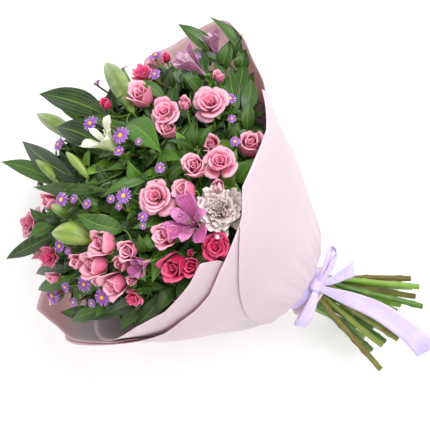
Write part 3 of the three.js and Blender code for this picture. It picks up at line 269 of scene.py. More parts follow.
# ---- meshes
@dataclass
class Skin:
    """Gathers grids of points into one mesh, with a UV map, a tone and a finish for each."""

    batches: list[tuple[Array, ...]] = field(default_factory=list)
    count: int = 0

    LOWEST = 0.4
    WELD = 1e-6

    def grids(self, grid: Array, uv: Array, tone: Array | float = 0.5, finish: int = 0,
              wrap: bool = False) -> None:
        """Adds a batch of like grids.

        Args:
            grid: (batch, rows, columns, 3) points; rows run along a piece, columns across it.
            uv: (rows, columns, 2) places on the piece's own map.
            tone: from 0 to 1, one for all or one for each grid.
            finish: the index of the faces' material.
            wrap: joins the last column to the first, for tubes.
        """
        shape = grid.shape[:3]
        index = np.arange(self.count, self.count + math.prod(shape)).reshape(shape)
        left, right = (index, np.roll(index, -1, axis=2)) if wrap else (index[:, :, :-1], index[:, :, 1:])
        quads = np.stack([left[:, :-1], right[:, :-1], right[:, 1:], left[:, 1:]], axis=-1).reshape(-1, 4)
        uv = np.broadcast_to(uv, (*shape, 2)).reshape(-1, 2)
        tone = np.broadcast_to(np.reshape(tone, (-1, 1, 1)), shape).reshape(-1)
        self.batches.append((grid.reshape(-1, 3), uv, tone, quads, np.full(len(quads), finish)))
        self.count += index.size

    def tubes(self, grid: Array, tone: Array | float = 0.5, finish: int = 0, repeats: float = 1.0) -> None:
        """Adds a batch of tubes, mapped once round and some times along."""
        _, rows, sides, _ = grid.shape
        uv = mapped(evenly(sides), evenly(rows)[:, None] * repeats)
        self.grids(grid, uv, tone, finish, wrap=True)

    def build(self, name: str, node: str, slot: str, materials: list[Material],
              thickness: float = 0.0) -> Piece:
        """Makes the piece, with its place in its mesh, and puts it on the root body.

        Args:
            name: the piece's name.
            node: the solid that it stands for.
            slot: its colour slot; not used.
            materials: the finishes that the faces' indices name.
            thickness: wall of an open sheet, in millimetres.

        Returns:
            The finished object.
        """
        points, uvs, tones, quads, finish = (np.concatenate(arrays) for arrays in zip(*self.batches))
        points[:, 2] = np.maximum(points[:, 2], self.LOWEST)
        points = (points * MM + OFFSET).astype(np.float32)
        mesh = bpy.data.meshes.new(name)
        mesh.vertices.add(len(points))
        mesh.vertices.foreach_set("co", points.ravel())
        mesh.loops.add(quads.size)
        mesh.loops.foreach_set("vertex_index", quads.ravel().astype(np.int32))
        mesh.polygons.add(len(quads))
        mesh.polygons.foreach_set("loop_start", np.arange(0, quads.size, 4, dtype=np.int32))
        mesh.polygons.foreach_set("material_index", finish.astype(np.int32))
        mesh.polygons.foreach_set("use_smooth", np.ones(len(quads), dtype=bool))
        mesh.update(calc_edges=True)
        layer = mesh.uv_layers.new(name="surface")
        layer.data.foreach_set("uv", uvs[quads.ravel()].astype(np.float32).ravel())
        tone = mesh.attributes.new("tone", "FLOAT", "POINT")
        tone.data.foreach_set("value", tones.astype(np.float32))
        for material in materials:
            mesh.materials.append(material)
        self._weld(mesh)
        mesh.validate()
        piece = bpy.data.objects.new(name, mesh)
        bpy.context.scene.collection.objects.link(piece)
        if thickness:
            wall = piece.modifiers.new("wall", "SOLIDIFY")
            wall.thickness = thickness * MM
            wall.offset = 0.0
        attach(piece, "root")
        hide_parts(node)
        return piece

    def _weld(self, mesh: bpy.types.Mesh) -> None:
        """Joins the points that share a place, so that poles and seams are closed."""
        shape = bmesh.new()
        shape.from_mesh(mesh)
        bmesh.ops.remove_doubles(shape, verts=shape.verts, dist=self.WELD)
        shape.to_mesh(mesh)
        shape.free()


def mapped(u: Array, v: Array) -> Array:
    """A UV map of two parameters that run over a grid."""
    return np.stack(np.broadcast_arrays(u, v), axis=-1)


def surface_map(rows: int, columns: int) -> tuple[Array, Array, Array]:
    """The parameters of a grid: u across from -1 to 1, v along from 0 to 1, and their UV map."""
    v, u = np.meshgrid(evenly(rows), np.linspace(-1.0, 1.0, columns), indexing="ij")
    return u, v, mapped(u * 0.5 + 0.5, v)


def round_about(sides: int) -> Array:
    """Angles round a section, the first not repeated at the end."""
    return np.linspace(0.0, FULL_TURN, sides, endpoint=False)


def capped(grid: Array) -> Array:
    """Closes tubes to a point at both ends.

    Args:
        grid: (batch, stations, sides, 3) rings.

    Returns:
        (batch, stations + 2, sides, 3) the rings between two more, each shrunk to a ring's middle.
    """
    ends = [np.repeat(grid[:, k, None].mean(axis=2, keepdims=True), grid.shape[2], axis=2)
            for k in (0, -1)]
    return np.concatenate([ends[0], grid, ends[1]], axis=1)


def tubes(centres: Array, radii: Array, sides: int) -> Array:
    """Round tubes along curves, closed to a point at both ends.

    Args:
        centres: (batch, stations, 3) points of each curve.
        radii: (batch, stations) the tube's radius there.
        sides: corners of the section.

    Returns:
        (batch, stations + 2, sides, 3) points: at each station centre + radius * (cos a * first
        + sin a * second), where both directions are square to the curve.
    """
    direction = unit(np.gradient(centres, axis=1))
    mean = unit(centres[:, -1] - centres[:, 0])
    level = square_to(mean, np.array([0.31, 0.9, 0.3]))[0]
    first, second = square_to(direction, np.broadcast_to(level[:, None], direction.shape))
    a = round_about(sides)[:, None]
    ring = np.cos(a) * first[:, :, None] + np.sin(a) * second[:, :, None]
    return capped(centres[:, :, None] + radii[:, :, None, None] * ring)


def around(angle: Array, out: Array, side: Array, high: Array) -> Array:
    """Points about the z axis: out along the angle's way, side square to it, and high."""
    x, y = np.cos(angle) * out - np.sin(angle) * side, np.sin(angle) * out + np.cos(angle) * side
    return np.stack(np.broadcast_arrays(x, y, high), axis=-1)


def climbed(angle: Array, at: Array) -> tuple[Array, Array]:
    """Follows a profile that leaves the axis at a changing angle.

    Args:
        angle: (batch, steps + 1, 1) the angle off the axis along the profile.
        at: (batch or 1, rows, columns) how far along it to look, from 0 to 1.

    Returns:
        How far out and how high: the running sums of the angle's sine and cosine, read between
        two of its steps.
    """
    steps = angle.shape[1] - 1
    sums = [np.cumsum(f(angle), axis=1) / steps for f in (np.sin, np.cos)]
    at = np.clip(at * steps, 0, steps - 0.001)
    low = at.astype(int)
    part = at - low
    pick = np.arange(len(angle))[:, None, None]
    out, high = (s[pick, low, 0] * (1 - part) + s[pick, low + 1, 0] * part for s in sums)
    return out, high


def spun(local: Array, centre: Array, direction: Array) -> Array:
    """Puts shapes of their own frame, z outwards, into the bouquet.

    Args:
        local: (..., 3) points with z along the head's way.
        centre: the head's centre.
        direction: the way that the head faces.

    Returns:
        The points in the bouquet, with x as near as can be to the picture's upward way.
    """
    first, second = square_to(direction, BOUQUET.upward)
    return centre + local @ np.stack([first, second, direction])


# ---- finishes
Socket = bpy.types.NodeSocket


def linear(value: int) -> tuple[float, float, float, float]:
    """A colour written as 0xRRGGBB, as the linear colour that shaders take."""
    parts = np.array([(value >> shift) & 255 for shift in (16, 8, 0)]) / 255.0
    flat = np.where(parts <= 0.04045, parts / 12.92, ((parts + 0.055) / 1.055) ** 2.4)
    return (*map(float, flat), 1.0)


class Nodes:
    """Places and wires the nodes of one shader tree."""

    STEP = 190.0

    def __init__(self, tree: Tree, effects: Effects | None = None) -> None:
        """Keeps the tree, its shader and the shared effects, and counts the nodes that it places."""
        self.tree, self.effects, self.count = tree, effects, 0
        self.shader = tree.nodes.get("Principled BSDF")

    def feed(self, entry: Socket, value: object) -> None:
        """Links a socket to an entry, or sets the entry to a value."""
        if isinstance(value, Socket):
            self.tree.links.new(value, entry)
        else:
            entry.default_value = value

    def add(self, kind: str, inputs: dict | None = None, **settings: object) -> Node:
        """Places a node.

        Args:
            kind: the node's type.
            inputs: values or sockets for its inputs, by name or number.
            settings: values for the node's own settings.

        Returns:
            The node.
        """
        node = self.tree.nodes.new(kind)
        node.location.x = self.count * self.STEP
        self.count += 1
        for key, value in settings.items():
            setattr(node, key, value)
        for key, value in (inputs or {}).items():
            self.feed(node.inputs[key], value)
        return node

    def maths(self, operation: str, *given: object, clamp: bool = False) -> Socket:
        """One step of arithmetic on numbers or sockets."""
        inputs = dict(enumerate(given))
        return self.add("ShaderNodeMath", inputs, operation=operation, use_clamp=clamp).outputs[0]

    def times(self, first: Socket, *others: object) -> Socket:
        """The product of sockets and numbers."""
        for other in others:
            first = self.maths("MULTIPLY", first, other)
        return first

    def rest(self, value: Socket) -> Socket:
        """One less a value."""
        return self.maths("SUBTRACT", 1.0, value)

    def off_half(self, value: Socket) -> Socket:
        """A value less one half."""
        return self.maths("SUBTRACT", value, 0.5)

    def edge(self, across: Socket) -> Socket:
        """How far off the middle line: 0 on it, 0.5 at both side edges."""
        return self.maths("ABSOLUTE", self.off_half(across))

    def ramp(self, value: Socket, low: float, high: float) -> Socket:
        """Rises smoothly from 0 to 1 while the value goes from low to high."""
        node = self.add("ShaderNodeMapRange", {"Value": value, "From Min": low, "From Max": high},
                        interpolation_type="SMOOTHSTEP")
        return node.outputs["Result"]

    def mix(self, factor: Socket, first: object, second: object) -> Socket:
        """Mixes two colours, each a socket or written as 0xRRGGBB."""
        pair = [linear(c) if isinstance(c, int) else c for c in (first, second)]
        return self.add("ShaderNodeMix", {0: factor, 6: pair[0], 7: pair[1]}, data_type="RGBA").outputs[2]

    def noise(self, place: Socket, scale: object, detail: float) -> Socket:
        """Noise from 0 to 1 over a place."""
        inputs = {"Vector": place, "Scale": scale, "Detail": detail}
        return self.add("ShaderNodeTexNoise", inputs).outputs["Fac"]

    def place(self) -> Socket:
        """The place in the piece's own space."""
        return self.add("ShaderNodeTexCoord").outputs["Object"]

    def tone(self) -> Socket:
        """The tone of the leaf or petal."""
        return self.add("ShaderNodeAttribute", attribute_name="tone").outputs["Fac"]

    def surface(self) -> tuple[Socket, Socket, Socket]:
        """The UV map, and its parts across and along the piece."""
        uv = self.add("ShaderNodeUVMap", uv_map="surface").outputs[0]
        split = self.add("ShaderNodeSeparateXYZ", {0: uv})
        return uv, split.outputs[0], split.outputs[1]

    def ribs(self, count: float, bend: float, fan: float = 0.0) -> Socket:
        """The shared ribs, as a height."""
        inputs = {"Count": count, "Bend": bend, "Fan": fan}
        return self.add("ShaderNodeGroup", inputs, node_tree=self.effects.ribs).outputs[0]

    def patches(self, scale: float, depth: float, share: float) -> Socket:
        """The shared soft patches, as a mask."""
        inputs = {"Scale": scale, "Depth": depth, "Share": share}
        return self.add("ShaderNodeGroup", inputs, node_tree=self.effects.patches).outputs[0]


class Effects:
    """The shader groups that several finishes share, each built once."""

    def __init__(self) -> None:
        """Builds the groups."""
        self.ribs = self._group("long ribs", ("Count", "Bend", "Fan"), "Height", self._long_ribs)
        self.patches = self._group("soft patches", ("Scale", "Depth", "Share"), "Mask", self._soft_patches)

    @staticmethod
    def _group(name: str, inputs: tuple[str, ...], output: str,
               work: Callable[..., Socket]) -> Tree:
        """A node group of number inputs and one number output, which work gives."""
        tree = bpy.data.node_groups.new(name, "ShaderNodeTree")
        for key in inputs:
            tree.interface.new_socket(key, in_out="INPUT", socket_type="NodeSocketFloat")
        tree.interface.new_socket(output, in_out="OUTPUT", socket_type="NodeSocketFloat")
        nodes = Nodes(tree)
        given = nodes.add("NodeGroupInput").outputs
        nodes.add("NodeGroupOutput", {output: work(nodes, *(given[key] for key in inputs))})
        return tree

    @staticmethod
    def _long_ribs(nodes: Nodes, count: Socket, bend: Socket, fan: Socket) -> Socket:
        """Fine ribs: waves across the UV map, bent by noise and slanting off the middle line by fan."""
        uv, across, along = nodes.surface()
        off = nodes.times(nodes.off_half(nodes.noise(uv, 6.0, 2.0)), bend)
        fanned = nodes.times(nodes.maths("SUBTRACT", along, nodes.edge(across)), fan)
        bent = nodes.maths("ADD", nodes.maths("ADD", across, off), fanned)
        wave = nodes.maths("SINE", nodes.times(bent, count, FULL_TURN))
        return nodes.maths("MULTIPLY_ADD", wave, 0.5, 0.5)

    @staticmethod
    def _soft_patches(nodes: Nodes, scale: Socket, depth: Socket, share: Socket) -> Socket:
        """Soft patches in the piece's own space, plus a share of the petal's or leaf's tone."""
        patch = nodes.times(nodes.off_half(nodes.noise(nodes.place(), scale, 3.0)), depth)
        shade = nodes.times(nodes.off_half(nodes.tone()), share)
        return nodes.maths("ADD", nodes.maths("ADD", patch, shade), 0.5, clamp=True)


Painted = tuple[Socket, Socket, float, float]


@dataclass(frozen=True)
class Finish:
    """What every finish has: a name, its roughness and how light passes through."""

    name: str
    roughness: float = 0.6
    sheen: float = 0.0
    through: float = 0.0
    coat: float = 0.0

    def make(self, effects: Effects) -> Material:
        """The material: constants on its shader's own sockets, and what the kind of finish paints."""
        material = bpy.data.materials.new(self.name)
        material.use_nodes = True
        nodes = Nodes(material.node_tree, effects)
        inputs = nodes.shader.inputs
        constants = {"Roughness": self.roughness, "Sheen Weight": self.sheen, "Sheen Roughness": 0.4,
                     "Coat Weight": self.coat, "Coat Roughness": 0.25, "Subsurface Weight": self.through,
                     "Subsurface Radius": (1.0, 0.5, 0.4), "Subsurface Scale": 0.003}
        for key, value in constants.items():
            inputs[key].default_value = value
        colour, height, strength, depth = self.paint(nodes)
        bump = nodes.add("ShaderNodeBump", {"Strength": strength, "Distance": depth * MM, "Height": height})
        nodes.feed(inputs["Base Color"], colour)
        nodes.feed(inputs["Normal"], bump.outputs["Normal"])
        return material

    def paint(self, nodes: Nodes) -> Painted:
        """The colour, the height of the bumps, their strength and their depth in millimetres."""
        raise NotImplementedError


@dataclass(frozen=True)
class PetalFinish(Finish):
    """A petal: paler towards the rim, deeper at the base, veined, soft to the light."""

    base: int = 0xBE3463
    body: int = 0xE57D9E
    rim: int = 0xF4B3C5
    rib_count: float = 16.0
    streaks: float = 0.18

    def paint(self, nodes: Nodes) -> Painted:
        """Three colours along the petal, pushed to and fro by patches, and veins of the base's colour."""
        ribs = nodes.ribs(self.rib_count, 0.12)
        pushed = nodes.times(nodes.off_half(nodes.patches(90.0, 0.5, 0.9)), 0.7)
        along = nodes.maths("ADD", nodes.surface()[2], pushed)
        colour = nodes.mix(nodes.ramp(along, 0.15, 0.82), self.base, self.body)
        colour = nodes.mix(nodes.ramp(along, 0.8, 1.05), colour, self.rim)
        return nodes.mix(nodes.times(ribs, self.streaks), colour, self.base), ribs, 0.3, 0.15


@dataclass(frozen=True)
class AlstroemeriaFinish(Finish):
    """A mauve petal with a pale yellow throat and short dark streaks."""

    body: int = 0xB04C8C
    rim: int = 0xD080B4
    throat: int = 0xEAD9A8
    streak: int = 0x4A1030
    inside: float = 0.3

    def paint(self, nodes: Nodes) -> Painted:
        """Paler side edges and throat, and streaks: waves across the petal cut into lengths."""
        uv, across, along = nodes.surface()
        ribs, edge = nodes.ribs(14.0, 0.1), nodes.edge(across)
        colour = nodes.mix(nodes.ramp(nodes.patches(70.0, 0.7, 0.8), 0.2, 0.9), self.body, self.rim)
        colour = nodes.mix(nodes.times(nodes.ramp(edge, 0.25, 0.5), 0.6), colour, self.rim)
        inner = nodes.ramp(nodes.tone(), 0.45, 0.55)
        middle, low = nodes.rest(nodes.ramp(edge, 0.12, 0.34)), nodes.rest(nodes.ramp(along, 0.35, 0.6))
        colour = nodes.mix(nodes.times(low, middle, inner), colour, self.throat)
        waves = nodes.ramp(nodes.ribs(7.0, 0.16), 0.62, 0.8)
        lengths = nodes.ramp(nodes.noise(uv, 11.0, 1.0), 0.4, 0.48)
        band = nodes.times(nodes.ramp(along, 0.22, 0.34), nodes.rest(nodes.ramp(along, 0.72, 0.86)))
        spots = nodes.times(waves, lengths, band, nodes.maths("MAXIMUM", inner, self.inside))
        return nodes.mix(spots, colour, self.streak), ribs, 0.35, 0.2


@dataclass(frozen=True)
class LeafFinish(Finish):
    """A leaf: a pale midrib, ribs along it or veins that slant off the midrib, and soft patches."""

    dark: int = 0x172F09
    body: int = 0x355C14
    pale: int = 0x78A03A
    rib_count: float = 9.0
    slant: float = 0.0
    relief: float = 0.5

    def paint(self, nodes: Nodes) -> Painted:
        """Two greens in patches, rougher where it is pale, with pale ribs and a sunken midrib."""
        ribs, patches = nodes.ribs(self.rib_count, 0.05, self.slant), nodes.patches(45.0, 0.8, 0.9)
        midrib = nodes.rest(nodes.ramp(nodes.edge(nodes.surface()[1]), 0.015, 0.06))
        colour = nodes.mix(nodes.ramp(patches, 0.15, 0.9), self.dark, self.body)
        colour = nodes.mix(nodes.times(nodes.ramp(ribs, 0.6, 1.0), 0.12), colour, self.pale)
        colour = nodes.mix(nodes.times(midrib, 0.42), colour, self.pale)
        span = {"Value": patches, "To Min": self.roughness - 0.08, "To Max": self.roughness + 0.12}
        nodes.feed(nodes.shader.inputs["Roughness"], nodes.add("ShaderNodeMapRange", span).outputs["Result"])
        return colour, nodes.maths("SUBTRACT", ribs, nodes.times(midrib, 1.6)), self.relief, 0.35


@dataclass(frozen=True)
class GreenFinish(Finish):
    """Stem, bud and calyx green: two greens in patches, a third towards one end, and furrows."""

    body: int = 0x6E9638
    deep: int = 0x3F6A22
    end: int = 0x8FAE52
    end_from: float = 0.6
    end_to: float = 1.0
    rib_count: float = 3.0
    rib_share: float = 0.2

    def paint(self, nodes: Nodes) -> Painted:
        """The patches, the end's colour, and the deep colour between the ribs."""
        ribs, patches = nodes.ribs(self.rib_count, 0.04), nodes.patches(60.0, 1.0, 0.9)
        colour = nodes.mix(nodes.ramp(patches, 0.2, 0.85), self.deep, self.body)
        colour = nodes.mix(nodes.ramp(nodes.surface()[2], self.end_from, self.end_to), colour, self.end)
        colour = nodes.mix(nodes.times(nodes.rest(ribs), self.rib_share), colour, self.deep)
        return colour, nodes.maths("ADD", ribs, patches), 0.4, 0.3


@dataclass(frozen=True)
class PaperFinish(Finish):
    """Waxed wrapping paper: fine fibre grain, soft creases, faint clouds of tone."""

    body: int = 0xE3C9D1
    shade: int = 0xD3B6BF

    def paint(self, nodes: Nodes) -> Painted:
        """Clouds and fibres in two tones, and creases where the cells of a pattern meet."""
        place = nodes.place()
        fibre = nodes.noise(place, 900.0, 4.0)
        cells = nodes.add("ShaderNodeTexVoronoi", {"Vector": place, "Scale": 26.0},
                          feature="DISTANCE_TO_EDGE")
        crease = nodes.rest(nodes.ramp(cells.outputs["Distance"], 0.0, 0.035))
        colour = nodes.mix(nodes.patches(9.0, 1.1, 0.2), self.shade, self.body)
        colour = nodes.mix(nodes.times(fibre, 0.12), colour, self.shade)
        return colour, nodes.maths("ADD", nodes.times(fibre, 0.25), nodes.times(crease, 0.35)), 0.25, 0.3


@dataclass(frozen=True)
class SatinFinish(Finish):
    """Satin ribbon: a fine weave across it, a bright sheen and long soft shades."""

    body: int = 0xBFA9E2
    bright: int = 0xE4D8F8

    def paint(self, nodes: Nodes) -> Painted:
        """Two tones in clouds, and the weave as ribs."""
        colour = nodes.mix(nodes.patches(35.0, 1.2, 0.4), self.body, self.bright)
        return colour, nodes.ribs(60.0, 0.0), 0.12, 0.05


@dataclass(frozen=True)
class TwineFinish(Finish):
    """Jute twine: fibres in two browns, rough to the touch."""

    body: int = 0xB8935E
    deep: int = 0x7D5C32

    def paint(self, nodes: Nodes) -> Painted:
        """The lighter brown on the strands, broken up by patches."""
        strands = nodes.ribs(4.0, 0.2)
        share = nodes.times(strands, nodes.patches(300.0, 1.2, 0.4))
        return nodes.mix(share, self.deep, self.body), strands, 0.6, 0.3


class Wardrobe:
    """All finishes of the bouquet, made once."""

    def __init__(self) -> None:
        """Makes the materials."""
        fx = Effects()
        self.pale = PetalFinish("pale rose petal", 0.5, 0.1, 0.2).make(fx)
        self.hot = PetalFinish("deep rose petal", 0.5, 0.1, 0.15, base=0x8E0E38, body=0xC81F55,
                               rim=0xDE4E7E).make(fx)
        self.carnation = PetalFinish("carnation petal", 0.6, 0.15, 0.2, base=0xC0185A, body=0xE43F7B,
                                     rim=0xF27FA6, streaks=0.3).make(fx)
        self.ruffled = PetalFinish("white ruffled petal", 0.6, 0.15, 0.25, base=0xB8979A, body=0xD6C2C1,
                                   rim=0xEADDDA, streaks=0.25).make(fx)
        self.lily = PetalFinish("cream lily petal", 0.45, 0.1, 0.3, base=0xB9C78A, body=0xEDEBD6,
                                rim=0xF7F2E4, rib_count=6.0, streaks=0.2).make(fx)
        self.aster = PetalFinish("aster ray", 0.6, 0.05, 0.15, base=0x9450B6, body=0xB877D0,
                                 rim=0xD0A2E4, rib_count=3.0).make(fx)
        self.mauve = AlstroemeriaFinish("alstroemeria petal", 0.45, 0.15, 0.2).make(fx)
        self.striped = AlstroemeriaFinish("striped alstroemeria petal", 0.45, 0.15, 0.2, body=0xA0628A,
                                          rim=0xD8B2C4, throat=0xD8B2C4, streak=0x52183A, inside=0.9).make(fx)
        self.disc = GreenFinish("aster disc", 0.8, body=0xEFC22E, deep=0xC98A12, end=0xF6D95A,
                                rib_share=0.1).make(fx)
        self.lily_bud = GreenFinish("lily bud skin", 0.4, coat=0.15, body=0x93A848, deep=0x4F6E24,
                                    end=0xC8CE8E, end_from=0.5, end_to=1.15, rib_count=6.0,
                                    rib_share=0.6).make(fx)
        self.stem = GreenFinish("green stem", 0.45, body=0x7FA636, deep=0x4A7424, end=0x567F2C).make(fx)
        self.wood = GreenFinish("woody stem", 0.6, body=0x84963C, deep=0x6B5A28, end=0x5E8A30,
                                end_to=0.9).make(fx)
        self.cut = GreenFinish("cut stem end", 0.8, body=0xCDBE8A, deep=0x9AA35C, end=0xCDBE8A).make(fx)
        self.calyx = GreenFinish("calyx", 0.5, body=0x6B9140, deep=0x3F6524, end=0x86A956).make(fx)
        self.blade = LeafFinish("long ribbed leaf", 0.4, coat=0.12, rib_count=7.0, relief=0.6).make(fx)
        self.leaflet = LeafFinish("rose leaf", 0.42, coat=0.1, slant=0.9, relief=0.7, dark=0x203C0B,
                                  body=0x437019).make(fx)
        self.fresh = LeafFinish("fresh green leaf", 0.4, coat=0.15, rib_count=6.0, dark=0x355E12,
                                body=0x6C9A26, pale=0xA2C25E).make(fx)
        self.paper = PaperFinish("wrapping paper", 0.7, sheen=0.15, through=0.4).make(fx)
        self.satin = SatinFinish("satin ribbon", 0.32, sheen=0.5).make(fx)
        self.twine = TwineFinish("jute twine", 0.9).make(fx)


# ---- blooms
class Bloom(Enum):
    """The kinds of flower head."""

    OPEN_ROSE = "open rose"
    CUP_ROSE = "cup rose"
    FAR_ROSE = "far rose"
    BUD = "bud"
    CARNATION = "carnation"
    RUFFLED = "ruffled"
    TRUMPET = "trumpet"
    LILY_BUD = "lily bud"
    ASTER = "aster"


ROSE, CUP, FAR, SMALL_BUD, CARNATION, RUFFLED, TRUMPET, LILY_BUD, ASTER = Bloom


@dataclass
class Head:
    """One flower head.

    The picture puts it at px, py, or else turned and leaning put it on the hidden side, in degrees
    about and off the axis. Its size is a diameter, in picture units or, when hidden, millimetres.
    The ends of a bud are the picture places of its foot and its tip.
    """

    bloom: Bloom
    px: float = 0.0
    py: float = 0.0
    size: float = 0.0
    node: str = ""
    lift: float = 0.0
    to_eye: float = 0.3
    look: tuple[float, float] = (0.0, 0.0)
    open: float = 0.5
    ends: tuple[float, ...] = ()
    turned: float | None = None
    leaning: float = 0.0
    centre: Array = field(default=None, repr=False)
    radius: float = 0.0
    way: Array = field(default=None, repr=False)
    foot: Array = field(default=None, repr=False)
    tip: Array = field(default=None, repr=False)

    FOOT = {ROSE: 0.62, CUP: 0.9, FAR: 0.95, SMALL_BUD: 1.1,
            CARNATION: 1.0, RUFFLED: 0.7, TRUMPET: 1.0, ASTER: 0.4}
    BUD_REACH = 2.4
    BUD_FOOT_LIFT = -14.0
    BUD_TIP_LIFT = 12.0

    def settle(self) -> None:
        """Works out the head's centre, radius, way and foot, and a lily bud's tip."""
        if self.turned is None:
            self.centre = BOUQUET.on_dome(self.px, self.py, self.lift)
            self.radius = self.size * BOUQUET.unit_at(self.centre) / 2
        else:
            self.centre = BOUQUET.dome_point(math.radians(self.turned), math.radians(self.leaning), self.lift)
            self.radius = self.size / 2
        self.way = BOUQUET.facing(self.centre, self.to_eye, self.look)
        if self.bloom is not LILY_BUD:
            self.foot = self.centre - self.way * self.radius * self.FOOT[self.bloom]
            return
        reach = self.way * self.radius * self.BUD_REACH
        self.foot, self.tip = self.centre - reach, self.centre + reach
        if self.ends:
            self.foot = BOUQUET.on_dome(*self.ends[:2], self.BUD_FOOT_LIFT)
            self.tip = BOUQUET.on_dome(*self.ends[2:], self.BUD_TIP_LIFT)
        self.way = unit(self.tip - self.foot)


@dataclass(frozen=True)
class RoseShape:
    """A rose's layers of petals, from the tight middle outwards."""

    petals: int = 23
    rows: int = 10
    columns: int = 10
    base_height: float = -0.62
    core: float = 0.1
    reach: float = 1.02
    inner_height: float = 0.95
    open_angle: float = 62.0
    roll: float = 0.95
    wave: float = 0.045
    narrow: float = 1.0
    close: float = 0.0

    def grids(self, radius: float, rng: Random) -> tuple[Array, Array, Array]:
        """The petals' grids in the head's own frame.

        Each petal starts at the receptacle and climbs: its angle off the axis grows from nothing
        for the innermost to open_angle for the outermost, swells to a cup in the middle, and rolls
        back over its last fifth. Across, a petal wraps the axis by a share that falls from the
        inner to the outer ones, its side edges roll out, and its top corners are rounded off by
        shortening v with |u|^2.4. At last the petals are scaled across, so that the widest reaches
        the bloom's radius.

        Args:
            radius: the bloom's radius.
            rng: the source of small differences.

        Returns:
            The (petals, rows, columns, 3) points, the (rows, columns, 2) map and a tone for each.
        """
        u, v, uv = surface_map(self.rows, self.columns)
        k = np.arange(self.petals)[:, None, None]
        f = k / (self.petals - 1.0)
        jitter = rng.normal(0.0, 1.0, (self.petals, 4))[:, :, None, None]
        open_to = np.radians(self.open_angle) * f**1.15 * (1 + 0.2 * jitter[:, 0])
        length = self.inner_height + (self.reach * 1.18 - self.inner_height * 0.35) * f**1.1
        length = length * (1 + 0.08 * jitter[:, 1]) * radius * (0.72 + 0.28 * f)
        fine = evenly(41)[None, :, None]
        cup = 0.55 * np.sin(np.pi * np.clip(fine * 1.35, 0, 1))
        rolled = self.roll * smoothstep(fine, 0.72, 1.0) * f**0.7 - self.close * smoothstep(fine, 0.3, 0.6)
        bottom = 1.15 * (1 - smoothstep(fine, 0.0, 0.34))
        angle = open_to + (bottom + 0.12) * (0.25 + 0.75 * f) - cup * (1 - 0.55 * f) * 0.6 + rolled
        out, high = climbed(angle, v * (1.0 - (0.07 + 0.17 * f) * np.abs(u) ** 2.4))
        wrap = (1.5 - 0.72 * f) * (0.34 + 0.66 * np.sin(np.pi * np.clip(0.16 + 0.62 * v, 0, 1)) ** 0.8)
        a = k * GOLDEN_TURN + u * wrap * self.narrow + 0.22 * jitter[:, 3]
        edge = np.abs(u) ** 3
        ripple = np.sin(5.0 * u + 7.0 * jitter[:, 2]) + 0.6 * np.sin(11.0 * u - 5.0 * jitter[:, 0])
        wavy = self.wave * radius * ripple * smoothstep(v, 0.55, 1.0) * (0.25 + 0.75 * f)
        rho = radius * self.core * (0.25 + 0.9 * f) + out * length
        rho = rho + radius * (0.05 + 0.13 * f) * edge * smoothstep(v, 0.35, 1.0)
        rho = rho * (1.0 + 0.02 * u * np.sign(jitter[:, 2])) + 0.7 * wavy
        factor = radius * self.reach / np.quantile(np.abs(rho), 0.985)
        z = self.base_height * radius + high * length + wavy - radius * 0.14 * edge * f * v
        tone = np.clip(0.18 + 0.62 * f + 0.1 * jitter[:, 0], 0, 1)
        return around(a, rho * factor, 0.0, z), uv, tone


ROSES = {
    ROSE: RoseShape(),
    CUP: RoseShape(petals=18, base_height=-0.9, inner_height=1.45, open_angle=12.0, roll=0.62,
                              reach=1.0, narrow=1.3, close=0.3),
    FAR: RoseShape(petals=16, rows=7, columns=7, base_height=-0.9, inner_height=1.3,
                              open_angle=34.0),
    SMALL_BUD: RoseShape(petals=9, rows=6, columns=6, base_height=-0.85, inner_height=1.75, open_angle=8.0,
                         roll=0.3, reach=0.92, narrow=1.3, close=0.25),
    RUFFLED: RoseShape(petals=96, rows=8, columns=11, base_height=-0.6, inner_height=1.0,
                             open_angle=58.0, roll=0.1, wave=0.12, narrow=0.5),
    CARNATION: RoseShape(petals=26, rows=7, columns=13, base_height=-0.75, inner_height=1.1,
                               open_angle=58.0, roll=0.2, wave=0.13),
}


def sepals(radius: float, height: float, reach: float, drop: float) -> tuple[Array, Array]:
    """Five pointed green sepals under a head.

    Args:
        radius: the bloom's radius.
        height: where they start, in parts of the radius.
        reach: a sepal's length, in parts of the radius.
        drop: how far its tip hangs.

    Returns:
        (5, rows, columns, 3) points and their map: half width is a sine bell that ends in a
        point, and the height falls with the square of the way out.
    """
    u, v, uv = surface_map(7, 5)
    half = 0.2 * radius * np.sin(np.pi * np.clip(0.18 + 0.82 * v, 0, 1)) ** 0.8
    z = radius * (height + 0.3 * v - drop * v**2) + 0.04 * radius * np.abs(u)
    return around(round_about(5)[:, None, None], radius * (0.12 + reach * v), u * half, z), uv


def cup_of(radius: float, low: float, high: float, wide: float) -> Array:
    """The green cup below the petals: a turned profile that swells as a sine and closes at both ends."""
    t = evenly(8)[:, None]
    r = radius * wide * np.sin(np.pi * np.clip(0.04 + 0.72 * t, 0, 1)) ** 0.7
    return capped(around(round_about(10), r, 0.0, radius * (low + (high - low) * t))[None])


